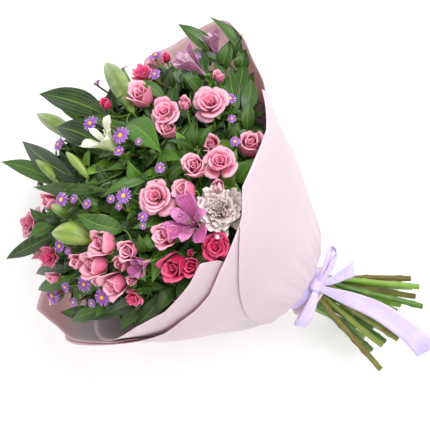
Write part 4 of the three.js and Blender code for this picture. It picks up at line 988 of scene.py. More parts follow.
@dataclass(frozen=True)
class TrumpetShape:
    """Six petals of an alstroemeria or a lily that flare from a narrow throat."""

    width: float = 0.4
    reach: float = 1.85
    recurve: float = 0.5
    rows: int = 11
    columns: int = 9

    def grids(self, radius: float, openness: float, rng: Random) -> tuple[Array, Array, Array]:
        """The petals' grids in the head's own frame.

        A petal leaves the foot along the axis, turns outwards as v^1.3 by the head's openness and
        curls back at its tip. Its half width is v^1.15 times a falling root of v^4, widest near its
        end. Every second petal is narrower and stands a little higher.

        Args:
            radius: the bloom's radius.
            openness: 0 for closed to 1 for flat.
            rng: the source of small differences.

        Returns:
            The points, the map and a tone for each petal: high for the inner, streaked ones.
        """
        u, v, uv = surface_map(self.rows, self.columns)
        k = np.arange(6)[:, None, None]
        inner = k % 2
        jitter = rng.normal(0.0, 1.0, (6, 3))[:, :, None, None]
        fine = evenly(41)[None, :, None]
        angle = np.radians(14.0) + np.radians(96.0) * (openness + 0.1 * jitter[:, 0]) * fine**1.3
        out, high = climbed(angle + self.recurve * smoothstep(fine, 0.75, 1.0) - 0.16 * inner, v[None])
        length = radius * (self.reach - 0.12 * inner) * (1 + 0.05 * jitter[:, 1])
        bell = v**1.15 * (1.0 - v**4) ** 0.65
        half = self.width * (1.0 - 0.42 * inner) * radius * 1.9 * bell + 0.02 * radius
        fold = 0.22 * half * np.abs(u) ** 1.6 * (1 - 0.3 * v)
        wavy = 0.085 * radius * np.sin(9.0 * v + 4.0 * jitter[:, 2] + 1.5 * u) * u**2 * v
        a = k * np.pi / 3 + 0.1 * jitter[:, 2] + 0.22 * v**2 * jitter[:, 1]
        side = u * half * np.cos(0.55 * u * (1 - 0.5 * v))
        rho = radius * 0.05 + out * length - fold * 0.5
        return around(a, rho, side, -radius + high * length + fold + wavy), uv, 0.25 + 0.55 * inner


def stamens(radius: float, count: int, rng: Random) -> Array:
    """Thin arching stamens from a throat, each a tube whose end swells to an anther."""
    t = evenly(9)
    a = (round_about(count) + rng.normal(0, 0.2, count))[:, None]
    reach = radius * (0.3 + 0.12 * rng.random(count))[:, None] * t**1.5
    radii = radius * (0.014 + 0.022 * smoothstep(t, 0.85, 0.93)) + 0 * reach
    return tubes(around(a, reach, 0.0, radius * (-0.8 + 1.3 * t)), radii, 5)


@dataclass
class HeadMaker:
    """Builds flower heads into skins, in the finishes of a wardrobe.

    The methods for each kind give its surfaces in the head's own frame, each as its points, its
    map or None for a tube, its tone, and its finish: 0 for petals, 1 for green, 2 for the disc.
    """

    wardrobe: Wardrobe

    LILY = "cream_lily"
    CLOSED = ("alstroemeria_c", "alstroemeria_d")
    FLAT = (ROSE, RUFFLED, CARNATION)
    RAYS = 26

    def finishes(self, head: Head, hot: bool) -> list[Material]:
        """The materials of a head: petals, green, disc."""
        w = self.wardrobe
        own = {self.LILY: w.lily, **dict.fromkeys(self.CLOSED, w.striped)}
        kind = {CARNATION: w.carnation, RUFFLED: w.ruffled, TRUMPET: w.mauve,
                LILY_BUD: w.lily_bud, ASTER: w.aster}
        return [own.get(head.node) or kind.get(head.bloom, w.hot if hot else w.pale), w.calyx, w.disc]

    def add(self, skin: Skin, head: Head, rng: Random, first: int = 0) -> None:
        """Adds a head's surfaces to a skin, where first is the index of its petal finish."""
        kinds = {TRUMPET: self._trumpet, LILY_BUD: self._lily_bud, ASTER: self._aster}
        start = head.foot if head.bloom is LILY_BUD else head.centre
        for grid, uv, tone, finish in kinds.get(head.bloom, self._rose)(head, rng):
            placed = spun(grid, start, head.way)
            if uv is None:
                skin.tubes(placed, tone, first + finish)
            else:
                skin.grids(placed, uv, tone, first + finish)

    def _rose(self, head: Head, rng: Random) -> list[tuple]:
        """A rose, bud, carnation or ruffled bloom with its cup and sepals."""
        shape, radius = ROSES[head.bloom], head.radius
        low = shape.base_height
        if head.bloom in self.FLAT:
            cup, green = cup_of(radius, low - 0.3, low + 0.04, 0.3), sepals(radius, low - 0.16, 0.75, 0.35)
        else:
            cup, green = cup_of(radius, low - 0.16, low + 0.16, 0.34), sepals(radius, low - 0.03, 0.96, -0.32)
        return [(*shape.grids(radius, rng), 0), (cup, None, 0.5, 1), (*green, 0.5, 1)]

    def _trumpet(self, head: Head, rng: Random) -> list[tuple]:
        """An alstroemeria, or the half-open lily, with its stamens."""
        shape = TrumpetShape()
        if head.node == self.LILY:
            shape = TrumpetShape(width=0.27, reach=2.1, recurve=0.7)
        elif head.node in self.CLOSED:
            shape = TrumpetShape(width=0.46, reach=2.7, recurve=0.25)
        petals = shape.grids(head.radius, head.open, rng)
        thin = stamens(head.radius, 6, rng)
        return [(*petals, 0), (thin, None, 0.2, 0), (cup_of(head.radius, -1.06, -0.8, 0.16), None, 0.5, 1)]

    def _lily_bud(self, head: Head, rng: Random) -> list[tuple]:
        """A plump ribbed bud: a tube whose radius follows a leaning bell and six shallow ribs."""
        t = evenly(16)[:, None]
        a = round_about(24)
        bell = np.interp(t, (0, 0.06, 0.2, 0.4, 0.62, 0.82, 0.94, 1),
                         (0.2, 0.42, 0.74, 0.94, 1, 0.7, 0.34, 0.06))
        r = head.radius * bell * (1.0 - 0.16 * (1.0 - np.abs(np.sin(3.0 * a)) ** 0.5))
        grid = around(a, r, 0.0, t * np.linalg.norm(head.tip - head.foot))
        grid[..., 0] += head.radius * 0.25 * np.sin(np.pi * t)
        return [(capped(grid[None]), None, rng.random(), 0)]

    def _aster(self, head: Head, rng: Random) -> list[tuple]:
        """An aster: two rows of narrow rays about a domed disc, over a small green cup."""
        u, v, uv = surface_map(5, 3)
        radius, count = head.radius, self.RAYS
        second = (np.arange(count) % 2)[:, None, None]
        a = (round_about(count) + rng.normal(0.0, 0.05, count))[:, None, None]
        length = radius * (0.98 - 0.1 * second + 0.05 * rng.normal(0, 1, count)[:, None, None])
        out = radius * 0.2 + (length - radius * 0.2) * v
        half = radius * 0.085 * np.sin(np.pi * np.clip(0.2 + 0.72 * v, 0, 1)) ** 0.6
        uneven = 0.06 * rng.normal(0, 1, count)[:, None, None] * v
        rise = radius * (0.1 + 0.1 * second + 0.16 * v * (1 - 1.3 * v) + uneven)
        rays = (around(a, out, u * half, rise), uv, rng.random(count), 0)
        t = np.linspace(0.0, np.pi / 2, 6)[:, None]
        rough = 1 + 0.05 * rng.normal(0, 1, (6, 10))
        high = radius * (0.08 + 0.24 * np.sin(t))
        dome = around(round_about(10), radius * 0.3 * np.cos(t) ** 0.8 * rough, 0.0, high)
        middle = np.broadcast_to(high[0] * UP, (1, 10, 3))
        disc = (np.concatenate([middle, dome])[None], None, rng.random(), 2)
        return [rays, disc, (cup_of(radius, -0.42, 0.12, 0.26), None, 0.5, 1)]


# ---- leaves
@dataclass(frozen=True)
class LeafShape:
    """The outline and the bends of a leaf."""

    rows: int = 15
    columns: int = 9
    fold: float = 0.16
    widest: float = 0.42
    wave: float = 0.05
    point: float = 1.15

    def grids(self, foot: Array, tip: Array, width: Array, face: Array, arch: float,
              rng: Random) -> tuple[Array, Array, Array]:
        """A batch of leaves.

        The midrib is the parabola from foot to tip that rises by arch in its middle. The half width
        is a bell that climbs as a root to its widest and falls to a point, and the blade rises off
        the midrib with |u|, ripples along its edges and twists a little.

        Args:
            foot: (n, 3) where each blade starts.
            tip: (n, 3) where it ends.
            width: (n,) its full width.
            face: (n, 3) the way that its upper side looks.
            arch: how far the midrib rises in its middle.
            rng: the source of small differences.

        Returns:
            The (n, rows, columns, 3) points, the map and a tone for each leaf.
        """
        u, v, uv = surface_map(self.rows, self.columns)
        span = tip - foot
        up, side = square_to(unit(span), face)
        phase = rng.random((len(foot), 1, 1)) * PHASES
        climb = np.sin(np.pi / 2 * np.minimum(v / self.widest, 1.0)) ** 0.75
        fall = np.cos(np.pi / 2 * np.clip((v - self.widest) / (1 - self.widest), 0, 1)) ** self.point
        bell = np.where(v < self.widest, climb, fall)
        half = width[:, None, None] / 2 * (bell * 0.99 + 0.012)
        rise = arch * 4 * v * (1 - v) * 0.9 + half * self.fold * np.abs(u) * 1.6
        rise = rise + half * self.wave * 2.2 * np.sin(9.0 * v + phase) * u**2 * np.sign(u + 1e-6)
        twist = 0.22 * np.sin(phase) * (v - 0.3)
        x = u * half * np.cos(twist) - rise * np.sin(twist)
        z = u * half * np.sin(twist) + rise * np.cos(twist)
        long = length_of(span)[:, None, None]
        x = x + 0.05 * np.sin(phase * 1.7) * long * np.sin(np.pi * v)
        foot, span, side, up = (way[:, None, None] for way in (foot, span, side, up))
        return foot + v[..., None] * span + x[..., None] * side + z[..., None] * up, uv, rng.random(len(x))


LONG_LEAF = LeafShape()
SMALL_LEAF = LeafShape(rows=8, columns=6, fold=0.2, widest=0.4, wave=0.08, point=0.9)


# ---- what grows in the bouquet
@dataclass
class Plant:
    """One spray, stem or branch: its heads, the first of which leads the stem, and its large leaves.

    A leaf is a row of the picture places of its foot and tip, and its width, then, where they
    aren't the usual ones, how far its tip and its foot stand off the dome. No stem bends round the
    tucked ones.
    """

    name: str
    heads: list[Head]
    leaves: Rows = ()
    tucked: Rows = ()
    hot: bool = False
    woody: bool = False

    LIFTS = (4.0, -22.0)
    TO_EYE = 0.5

    def placed(self, rows: Rows) -> list[tuple[Array, Array, float, Array]]:
        """Each leaf's foot, tip, width and the way that its upper side faces."""
        found = []
        for px, py, tip_px, tip_py, wide, *given in rows:
            tip_lift, foot_lift = (*given, *self.LIFTS[len(given):])
            foot = BOUQUET.on_dome(px, py, foot_lift)
            tip = BOUQUET.on_dome(tip_px, tip_py, tip_lift)
            found.append((foot, tip, wide * BOUQUET.unit_at(foot), BOUQUET.facing(foot, self.TO_EYE)))
        return found


def small(bloom: Bloom, *places: tuple[float, float, float]) -> list[Head]:
    """Heads of one kind at picture places, each given as x, y and diameter."""
    return [Head(bloom, *place) for place in places]


def bud(px: float, py: float, size: float, *ends: float) -> Head:
    """A lily bud whose foot and tip have picture places."""
    return Head(LILY_BUD, px, py, size, ends=ends)


def hidden(bloom: Bloom, turned: float, leaning: float, size: float) -> Head:
    """A head of the hidden side."""
    return Head(bloom, size=size, turned=turned, leaning=leaning, to_eye=0.0)


# everything that grows in the bouquet, in the order of its stems
PLANTS = [
    Plant("pale_rose_spray_upper", [
        Head(ROSE, 220, 161, 34, "pale_rose_open_a", to_eye=0.5),
        Head(ROSE, 210, 102, 36, "pale_rose_open_b", to_eye=0.5),
        Head(CUP, 251, 143, 26, "pale_rose_cup_a"),
        Head(CUP, 211, 144, 20, "pale_rose_cup_b", lift=-20),
        Head(SMALL_BUD, 219, 188, 15, lift=-10)],
        ((236, 182, 255, 158, 20), (246, 168, 262, 153, 14), (228, 140, 238, 122, 12))),
    Plant("pale_rose_spray_top_left", [
        Head(ROSE, 164, 112, 30, "pale_rose_open_c"),
        Head(CUP, 142, 95, 26, "pale_rose_cup_c", lift=-6),
        Head(CUP, 168, 129, 20, "pale_rose_cup_d", lift=-14),
        Head(SMALL_BUD, 184, 105, 15)],
        ((128, 123, 161, 152, 28, 4, -14), (160, 155, 184, 160, 13))),
    Plant("pale_rose_spray_middle", [
        Head(ROSE, 155, 197, 36, "pale_rose_open_d", to_eye=0.5),
        Head(CUP, 195, 166, 24, "pale_rose_cup_e"),
        Head(CUP, 185, 190, 22, "pale_rose_cup_f", look=(-0.9, 0.1), lift=-4)],
        ((168, 180, 184, 164, 13), (140, 180, 128, 160, 14), (107, 190, 33, 187, 14, 6))),
    Plant("pale_rose_spray_low", [
        Head(CUP, 165, 235, 24, "pale_rose_cup_g", look=(-0.3, -0.2)),
        Head(CUP, 128, 251, 20, "pale_rose_cup_h"),
        Head(CUP, 115, 284, 26, "pale_rose_cup_i", look=(-0.3, -0.4)),
        Head(SMALL_BUD, 132, 281, 12),
        Head(SMALL_BUD, 122, 264, 18, lift=-10)],
        ((150, 250, 139, 234, 16), (140, 262, 146, 282, 14), (124, 230, 76, 214, 23, 8))),
    Plant("pale_rose_spray_left", [
        Head(CUP, 103, 243, 26, "pale_rose_cup_j", look=(-0.5, 0.0)),
        Head(CUP, 96, 264, 26, "pale_rose_cup_k", look=(-0.5, -0.1)),
        *small(SMALL_BUD, (78, 262, 18), (99, 283, 12), (54, 278, 14))],
        ((76, 278, 38, 290, 15), (72, 268, 36, 274, 14))),
    Plant("pale_rose_spray_far_left", [
        Head(ROSE, 28, 223, 30, "pale_rose_open_e", look=(-0.5, 0.0)),
        Head(SMALL_BUD, 49, 202, 17)],
        ((55, 225, 30, 240, 15), (57, 234, 6, 259, 17), (52, 222, 30, 208, 12))),
    Plant("hot_rose_spray", [
        Head(ROSE, 217, 247, 30, "hot_rose_a", to_eye=0.4),
        Head(CUP, 175, 265, 27, "hot_rose_b", look=(-0.2, -0.4), lift=3),
        Head(CUP, 191, 266, 18, "hot_rose_c", lift=6),
        Head(SMALL_BUD, 191, 253, 8)],
        ((176, 252, 160, 262, 14), (200, 254, 206, 262, 12)), hot=True),
    Plant("carnation_stem_top", [
        Head(CARNATION, 142, 72, 22, "carnation_a"),
        *small(SMALL_BUD, (166, 59, 10), (106, 105, 12))],
        ((166, 101, 135, 80, 12), (191, 92, 193, 61, 14)), hot=True),
    Plant("carnation_stem_left", [Head(CARNATION, 46, 257, 22, "carnation_b", look=(-0.4, -0.2))],
          ((60, 243, 27, 237, 14),), hot=True),
    Plant("carnation_stem_low", [Head(CARNATION, 133, 299, 18, "carnation_c", look=(-0.2, -0.6))],
          ((147, 298, 105, 314, 19), (151, 300, 120, 331, 15), (158, 302, 145, 326, 14)),
          ((165, 292, 134, 328, 17), (174, 286, 158, 314, 16), (126, 306, 88, 320, 14),
           (190, 280, 176, 302, 14), (108, 306, 72, 322, 14), (90, 308, 60, 312, 13)), hot=True),
    Plant("alstroemeria_stem_low", [
        Head(TRUMPET, 190, 222, 50, "alstroemeria_a", to_eye=0.6, look=(-0.3, 0.2), open=0.58, lift=8),
        Head(TRUMPET, 140, 264, 30, "alstroemeria_b", look=(-0.9, -0.4), open=0.45),
        Head(SMALL_BUD, 174, 231, 12)],
        ((194, 149, 166, 141, 9), (197, 146, 191, 122, 8), (200, 149, 214, 124, 9))),
    Plant("alstroemeria_stem_top", [
        Head(TRUMPET, 196, 68, 28, "alstroemeria_c", look=(-0.9, 0.2), open=0.2),
        Head(TRUMPET, 214, 50, 24, "alstroemeria_d", look=(-0.3, 0.7), open=0.18),
        Head(SMALL_BUD, 219, 77, 13)],
        ((214, 52, 178, 24, 18), (243, 55, 209, 17, 12), (240, 72, 246, 49, 16), (231, 66, 186, 50, 13)),
        ((245, 116, 251, 79, 17), (238, 96, 245, 64, 15), (247, 132, 250, 99, 14),
         (222, 74, 232, 38, 16), (206, 78, 196, 48, 15), (236, 84, 245, 66, 15),
         (232, 60, 243, 34, 13), (226, 92, 214, 62, 15), (200, 92, 180, 74, 15))),
    Plant("ruffled_white_stem", [
        Head(RUFFLED, 219, 209, 46, "ruffled_white_bloom", to_eye=0.4, lift=-8)],
        ((238, 112, 231, 66, 15), (242, 110, 254, 72, 14)), woody=True),
    Plant("lily_stem_open", [
        Head(TRUMPET, 106, 142, 40, "cream_lily", open=0.42, look=(-0.5, 0.5)),
        bud(119, 88, 22, 133, 112, 106, 63), bud(76, 165, 10, 88, 178, 66, 152)],
        ((108, 116, 39, 94, 28, 12), (106, 148, 56, 127, 28, 10))),
    Plant("lily_stem_upper", [bud(59, 128, 16, 80, 142, 37, 114), bud(48, 172, 10, 60, 184, 36, 160)],
          ((79, 182, 22, 141, 22, 8), (62, 185, 1, 162, 17, 8), (149, 179, 101, 198, 12))),
    Plant("lily_stem_left", [bud(73, 237, 25, 94, 240, 52, 233), bud(60, 212, 12, 70, 219, 51, 205)],
          ((62, 224, 40, 216, 10),)),
    Plant("aster_spray_upper_left",
          small(ASTER, (121, 136, 20), (91, 124, 18), (107, 123, 12), (119, 151, 12), (139, 142, 9),
                (59, 145, 14), (97, 83, 9)),
          ((120, 112, 124, 94, 6), (98, 138, 84, 140, 6)), woody=True),
    Plant("aster_spray_left",
          small(ASTER, (87, 204, 11), (62, 200, 18), (74, 199, 10), (60, 246, 14), (68, 251, 9)),
          ((82, 210, 65, 214, 6), (91, 205, 85, 188, 6)), woody=True),
    Plant("aster_spray_middle",
          small(ASTER, (124, 196, 18), (111, 199, 10), (119, 206, 9), (143, 217, 12), (143, 226, 8),
                (160, 168, 12)),
          ((132, 206, 140, 186, 6), (136, 214, 126, 222, 6)), woody=True),
    Plant("aster_spray_low",
          small(ASTER, (85, 284, 18), (54, 295, 22), (66, 287, 12), (103, 297, 20), (92, 303, 10),
                (74, 302, 10)),
          ((98, 300, 84, 311, 8), (108, 302, 95, 318, 8)), woody=True),
    Plant("aster_spray_top",
          small(ASTER, (184, 57, 18), (156, 56, 17), (196, 57, 12), (155, 75, 14)),
          ((174, 88, 169, 67, 7), (182, 85, 190, 71, 7)), woody=True),
    Plant("aster_spray_right", small(ASTER, (230, 99, 14), (232, 119, 10), (235, 142, 12)),
          ((226, 112, 222, 92, 6), (230, 122, 240, 104, 6)), woody=True),
    Plant("far_rose_spray_right", [hidden(FAR, 118, 62, 34), hidden(FAR, 98, 74, 32),
                                   hidden(SMALL_BUD, 128, 82, 22), hidden(ASTER, 110, 46, 18)]),
    Plant("far_rose_spray_low", [hidden(FAR, 168, 58, 42), hidden(FAR, 190, 76, 34),
                                 hidden(FAR, 150, 78, 32), hidden(ASTER, 180, 42, 20)]),
    Plant("far_rose_spray_left", [hidden(FAR, 240, 60, 34), hidden(FAR, 222, 74, 38),
                                  hidden(SMALL_BUD, 254, 78, 22), hidden(ASTER, 236, 44, 18)]),
    Plant("far_aster_spray", [hidden(ASTER, 205, 56, 24), hidden(ASTER, 140, 60, 22),
                              hidden(ASTER, 208, 86, 22), hidden(ASTER, 172, 86, 20),
                              hidden(ASTER, 146, 44, 18), hidden(LILY_BUD, 196, 30, 16)], woody=True),
]


# ---- stems
@dataclass
class Chain:
    """A run of stem: the indices of its points, its head and plant, and whether it is a branch."""

    nodes: list[int]
    head: Head
    plant: int
    branch: bool


def along_segment(top: Array, bottom: Array) -> Array:
    """The part top / bottom kept from 0 to 1, and 0 where the bottom is nothing."""
    some = bottom > TINY
    return np.where(some, np.clip(top / np.where(some, bottom, 1), 0, 1), 0.0)


@dataclass
class StemWork:
    """Lays every stem and branch of the bouquet and bends them clear of each other."""

    cut_end: float = -138.0
    cut_scatter: float = 9.0
    cut_step: float = 2.4
    stem_width: float = 6.2
    top_width: float = 3.4
    branch_width: float = 3.0
    pitch: float = 6.9
    rings_of_slots: int = 4
    straight: float = 30.0
    rise: float = 60.0
    fork: float = 0.6
    neck: float = 9.0
    branch_least: float = 45.0
    seat_gap: float = 0.35
    rounds: int = 60
    room: float = 0.8
    limit: float = 3.0
    petiole: float = 2.4
    head_share: float = 0.85
    kept: list[tuple[Array, float, bool]] = field(default_factory=list)
    points: Array = field(default=None, repr=False)

    def slots(self, count: int) -> list[Array]:
        """The slots of the tie's section, a hexagonal net, in order of their distance from its middle."""
        n = range(-self.rings_of_slots, self.rings_of_slots + 1)
        net = [np.array([self.pitch * math.sqrt(3) / 2 * i, self.pitch * (j + i / 2)]) for i in n for j in n]

        def order(slot: Array) -> float:
            """Distance in hundredths, then five times the turn."""
            turn = math.atan2(slot[1], slot[0]) % FULL_TURN
            return math.floor(math.hypot(*slot) * 100 + 0.5) + (5 * turn / FULL_TURN) % 1

        return sorted(net, key=order)[:count]

    def _put(self, point: Array, half: float = 0.0, held: bool = True) -> int:
        """Keeps a point and gives its index."""
        self.kept.append((point, half, held))
        return len(self.kept) - 1

    def _climb(self, from_s: float, slot: Array, head: Head, steps: int,
               ease: bool) -> list[tuple[Array, float]]:
        """Points from a place of the sheaf to a head.

        Args:
            from_s: how far along the axis they start.
            slot: the slot of the tie's section that they start from.
            head: the head that they lead to.
            steps: how many points lie before the neck.
            ease: whether the slot changes slowly at first and at last.

        Returns:
            The points, the neck and the end under the head's foot, each with its s.
        """
        end = head.foot - head.way * (self.seat_gap if head.node else 0.0)
        neck = head.foot - head.way * self.neck
        neck_s, neck_slot = float(BOUQUET.measure(neck)[0]), BOUQUET.gather(neck)
        found = []
        for k in range(steps):
            t = k / steps
            eased = t * t * (3 - 2 * t) if ease else t
            s = from_s + (neck_s - from_s) * t
            found.append((BOUQUET.fan(s, slot + (neck_slot - slot) * eased), s))
        return [*found, (neck, neck_s), (end, neck_s)]

    def lay(self, grown: list[Plant]) -> list[Chain]:
        """Gives each plant a slot of the tie, and its stem and branches their points."""
        free = self.slots(len(grown))
        chains = []
        for index, plant in enumerate(grown):
            lead, *sides = plant.heads
            wish = BOUQUET.gather(lead.foot)
            slot = free.pop(int(np.argmin([np.hypot(*(other - wish)) for other in free])))
            cut = self.cut_end + self.cut_scatter * math.sin(index * self.cut_step)
            rising = self._climb(self.rise, slot, lead, 3, True)
            path = [*((BOUQUET.fan(s, slot), s) for s in (cut, self.straight)), *rising]
            nodes = []
            for k, (point, s) in enumerate(path):
                part = (max(self.rise, s) - self.rise) / (BOUQUET.dome_centre - self.rise)
                thin = self.stem_width + (self.top_width - self.stem_width) * part
                nodes.append(self._put(point, thin / 2, k < 3 or k >= len(path) - 2))
            chains.append(Chain(nodes, lead, index, False))
            for side in sides:
                neck_s = float(BOUQUET.measure(side.foot - side.way * self.neck)[0])
                lead_s = float(BOUQUET.measure(lead.foot)[0])
                fork = max(self.rise, min(self.fork * lead_s, neck_s - self.branch_least))
                start = max([k for k, (_, s) in enumerate(rising) if s <= fork + 1e-6] or [0])
                point, s = rising[start]
                branch = self._climb(s, BOUQUET.gather(point), side, 2, False)
                made = [self._put(p, self.branch_width / 2, k >= 2) for k, (p, _) in enumerate(branch)][1:]
                chains.append(Chain([nodes[start + 2], *made], side, index, True))
        return chains

    def bend(self, chains: list[Chain], midribs: list[tuple[Array, Array, int]]) -> None:
        """Bends stems clear of those of other plants, of all heads and of the leaves' midribs.

        Every pair of segments that lies nearer than their halves plus some room is pushed apart, a
        little each round, all pairs of a round at once.

        Args:
            chains: all stems and branches.
            midribs: the foot and the tip of each large leaf, and its plant.
        """
        half = [row[1] for row in self.kept]
        rows = [(i, j, c.plant, (half[i] + half[j]) / 2)
                for c in chains for i, j in zip(c.nodes, c.nodes[1:])]
        for c in chains:
            low, high = (c.head.centre, c.head.centre) if c.head.tip is None else (c.head.foot, c.head.tip)
            rows.append((self._put(low), self._put(high), c.plant, c.head.radius * self.head_share))
        rows += [(self._put(foot), self._put(tip), plant, self.petiole / 2) for foot, tip, plant in midribs]
        i, j, plant, wide = (np.array(x) for x in zip(*rows))
        points, _, held = (np.array(x) for x in zip(*self.kept))
        first, second = np.triu_indices(len(rows), 1)
        apart = plant[first] != plant[second]
        first, second = first[apart], second[apart]
        for _ in range(self.rounds):
            a, b = points[i[first]], points[i[second]]
            u, v, w = points[j[first]] - a, points[j[second]] - b, a - b
            uu, uv, vv, uw, vw = (dot(*pair)[:, 0] for pair in ((u, u), (u, v), (v, v), (u, w), (v, w)))
            t = along_segment(uv * vw - vv * uw, uu * vv - uv * uv)
            r = along_segment(uv * t + vw, vv)
            t = along_segment(uv * r - uw, uu)
            way = w + u * t[:, None] - v * r[:, None]
            short = wide[first] + wide[second] + self.room - length_of(way)
            near = short > 0
            push = unit(way[near]) * (short[near] * 0.5)[:, None]
            moves = np.zeros_like(points)
            for index, share in ((i[first], 1 - t), (j[first], t), (i[second], r - 1), (j[second], -r)):
                np.add.at(moves, index[near], share[near][:, None] * push)
            moves[held] = 0.0
            size = np.linalg.norm(moves, axis=1, keepdims=True)
            points = points + moves * np.minimum(1.0, self.limit / np.maximum(size, TINY))
        self.points = points

    def curve(self, chain: Chain, count: int, at: Array | None = None) -> Array:
        """A smooth curve through a chain's points, (count, 3)."""
        return flowing(self.points[chain.nodes], count, at)


@dataclass(frozen=True)
class PaperShape:
    """The cone of paper about the bouquet."""

    waist: float = 25.0
    puff: float = 34.0
    collar_puff: float = 12.0
    puff_start: float = 9.0
    puff_reach: float = 8.0
    slope: float = 0.705
    skew: float = 0.055
    curl_start: float = 220.0
    curl_kept: float = 0.8
    layer_step: float = 2.0
    layer_opening: float = 0.008
    collar: float = -17.0
    edge_reach: float = 200.0
    flap: tuple[float, float, float, float, float] = (96.0, 22.0, 222.0, 262.0, 24.0)
    pulls: tuple[tuple[float, float, float], ...] = ((-75.0, 30.0, 13.0), (74.0, 20.0, 12.0))
    pull_run: tuple[float, float] = (110.0, 200.0)
    pull_end: tuple[float, float] = (195.0, 235.0)

    def radius(self, s: Array, angle: Array, layer: int) -> Array:
        """The paper's distance from the axis: the waist, a puff above the tie, a cone, a free corner.

        Args:
            s: how far along the axis.
            angle: the place about it, in radians.
            layer: 0 for the back sheet, then 1 and 2; the corner is the back sheet's.

        Returns:
            The distance, in which the puff rises as 1 - exp(-x) and the cone bends at curl_start.
        """
        slope = self.slope - self.skew * np.sin(angle)
        curl = 1 - self.curl_kept * np.sin(angle) ** 2
        bent = np.maximum(0, s - self.curl_start) * curl
        run = np.maximum(0, np.minimum(s, self.curl_start) - self.puff_start + bent)
        puffed = 1 - np.exp(-np.maximum(0, np.abs(s) - self.puff_start) / self.puff_reach)
        puff = np.where(s > 0, self.puff, self.collar_puff) * puffed
        at, wide, start, end, out = self.flap
        beside = np.exp(-(((np.degrees(angle) - at) / wide) ** 2))
        free = out * smoothstep(s, start, end) * beside * (layer == 0)
        opening = layer * (self.layer_step + self.layer_opening * np.maximum(0, s))
        return self.waist + opening + puff + slope * run + free

    def pulled(self, s: Array, degrees: Array, back: bool) -> Array:
        """How far the paper is drawn in at two places; the back sheet is free of one near its rim."""
        inwards = 0.0 * s
        for at, wide, depth in self.pulls:
            off = (degrees - at + 180.0) % 360.0 - 180.0
            free = smoothstep(s, *self.pull_end) if back and at > 0 else 0.0
            drawn = depth * np.exp(-((off / wide) ** 2)) * smoothstep(s, *self.pull_run)
            inwards = inwards + drawn * (1.0 - free)
        return inwards


PAPER = PaperShape()


@dataclass
class PaperSheet:
    """One sheet: its side edges about the axis at the waist and at the rim, and its rim."""

    name: str
    layer: int
    waist: tuple[float, float]
    edge: tuple[float, float]
    rim: list[tuple[float, float]]
    flat: tuple[float, float]
    rows: int = 70
    columns: int = 200
    inset: float = 0.0
    of_node: str = ""
    wall: float = 0.5

    def grid(self) -> tuple[Array, Array]:
        """The sheet's points and map: rows along the axis, packed towards the waist, columns about it.

        The paper's radius is the cone's, plus pleats that fan from the waist and die out up the
        cone, long soft waves, and a rim that curls outwards over its last stretch.
        """
        v = evenly(self.rows)[:, None]
        u = evenly(self.columns)[None, :]
        angles, ends = (np.array(x, dtype=float) for x in zip(*self.rim))
        end = np.interp(self.edge[0] + (self.edge[1] - self.edge[0]) * u, angles, ends)
        packed = v + 0.54 * v * (v - 1)
        s = PAPER.collar + (end - PAPER.collar) * packed
        reach = np.clip(s / PAPER.edge_reach, 0, 1)
        low, high = (self.waist[k] + (self.edge[k] - self.waist[k]) * reach for k in (0, 1))
        degrees = low + (high - low) * u
        angle = np.radians(degrees)
        r = PAPER.radius(s, angle, self.layer) + 0.5 - PAPER.pulled(s, degrees, self.layer == 0)
        pleat = np.sin(angle * 19.0) + 0.5 * np.sin(angle * 41.0 + 2.0)
        r = r + 1.2 * pleat * np.exp(-((s - 34.0) / 44.0) ** 2) * smoothstep(s, 9.0, 24.0)
        r = r + 1.3 * np.sin(angle * 5.0 + s * 0.012) * smoothstep(s, 60.0, 160.0)
        r = r - self.inset * smoothstep(s, 70.0, 190.0) + 1.2 * smoothstep(packed, 0.96, 1.0) ** 2
        point = BOUQUET.place(s, -r * np.sin(angle), r * np.cos(angle))
        point[..., 2] = np.maximum(point[..., 2], Skin.LOWEST)
        return point, mapped(u, v)

    def build(self, wardrobe: Wardrobe) -> None:
        skin = Skin()
        grid, uv = self.grid()
        skin.grids(grid[None], uv)
        node = self.of_node or self.name
        piece = skin.build(self.name + "_fine", node, "wrap", [wardrobe.paper], self.wall)


def paper_sheets() -> list[PaperSheet]:
    """The three sheets of the wrap and the inner lapel; a rim is rows of degrees and reach."""
    return [
        PaperSheet("paper_back_sheet", 0, (48, 312), (66, 294), [
            (60, 205), (66, 205), (77, 236), (90, 276), (104, 277), (130, 278), (143, 286), (152, 266),
            (160, 262), (180, 258), (200, 258), (225, 250), (232, 248), (249, 258), (258, 232),
            (268, 222), (280, 204), (300, 196)], (0.60, 0.45), columns=260),
        PaperSheet("paper_left_sheet", 1, (-130, 50), (-112, 22), [
            (-130, 228), (-112, 214), (-92, 227), (-85, 214), (-70, 192), (-50, 172), (-40, 174),
            (-31, 171), (-23, 173), (-12, 186), (-7, 190), (1, 197), (5, 200), (60, 204)], (0.50, 0.35)),
        PaperSheet("paper_left_lapel", 1, (-112, -2), (-112, -8), [
            (-112, 190), (-70, 206), (-60, 215), (-50, 220), (-44, 221), (-38, 215), (-34, 208), (-26, 209),
            (-19, 211), (-11, 219), (-8, 196)], (0.40, 0.30), columns=120, inset=7.0,
            of_node="paper_left_sheet"),
        PaperSheet("paper_right_sheet", 2, (-62, 128), (6, 112), [
            (-62, 203), (6, 203), (9, 207), (16, 229), (26, 228), (39, 224), (45, 231), (54, 241), (60, 222),
            (75, 198), (93, 188), (128, 190)], (0.50, 0.35)),
    ]


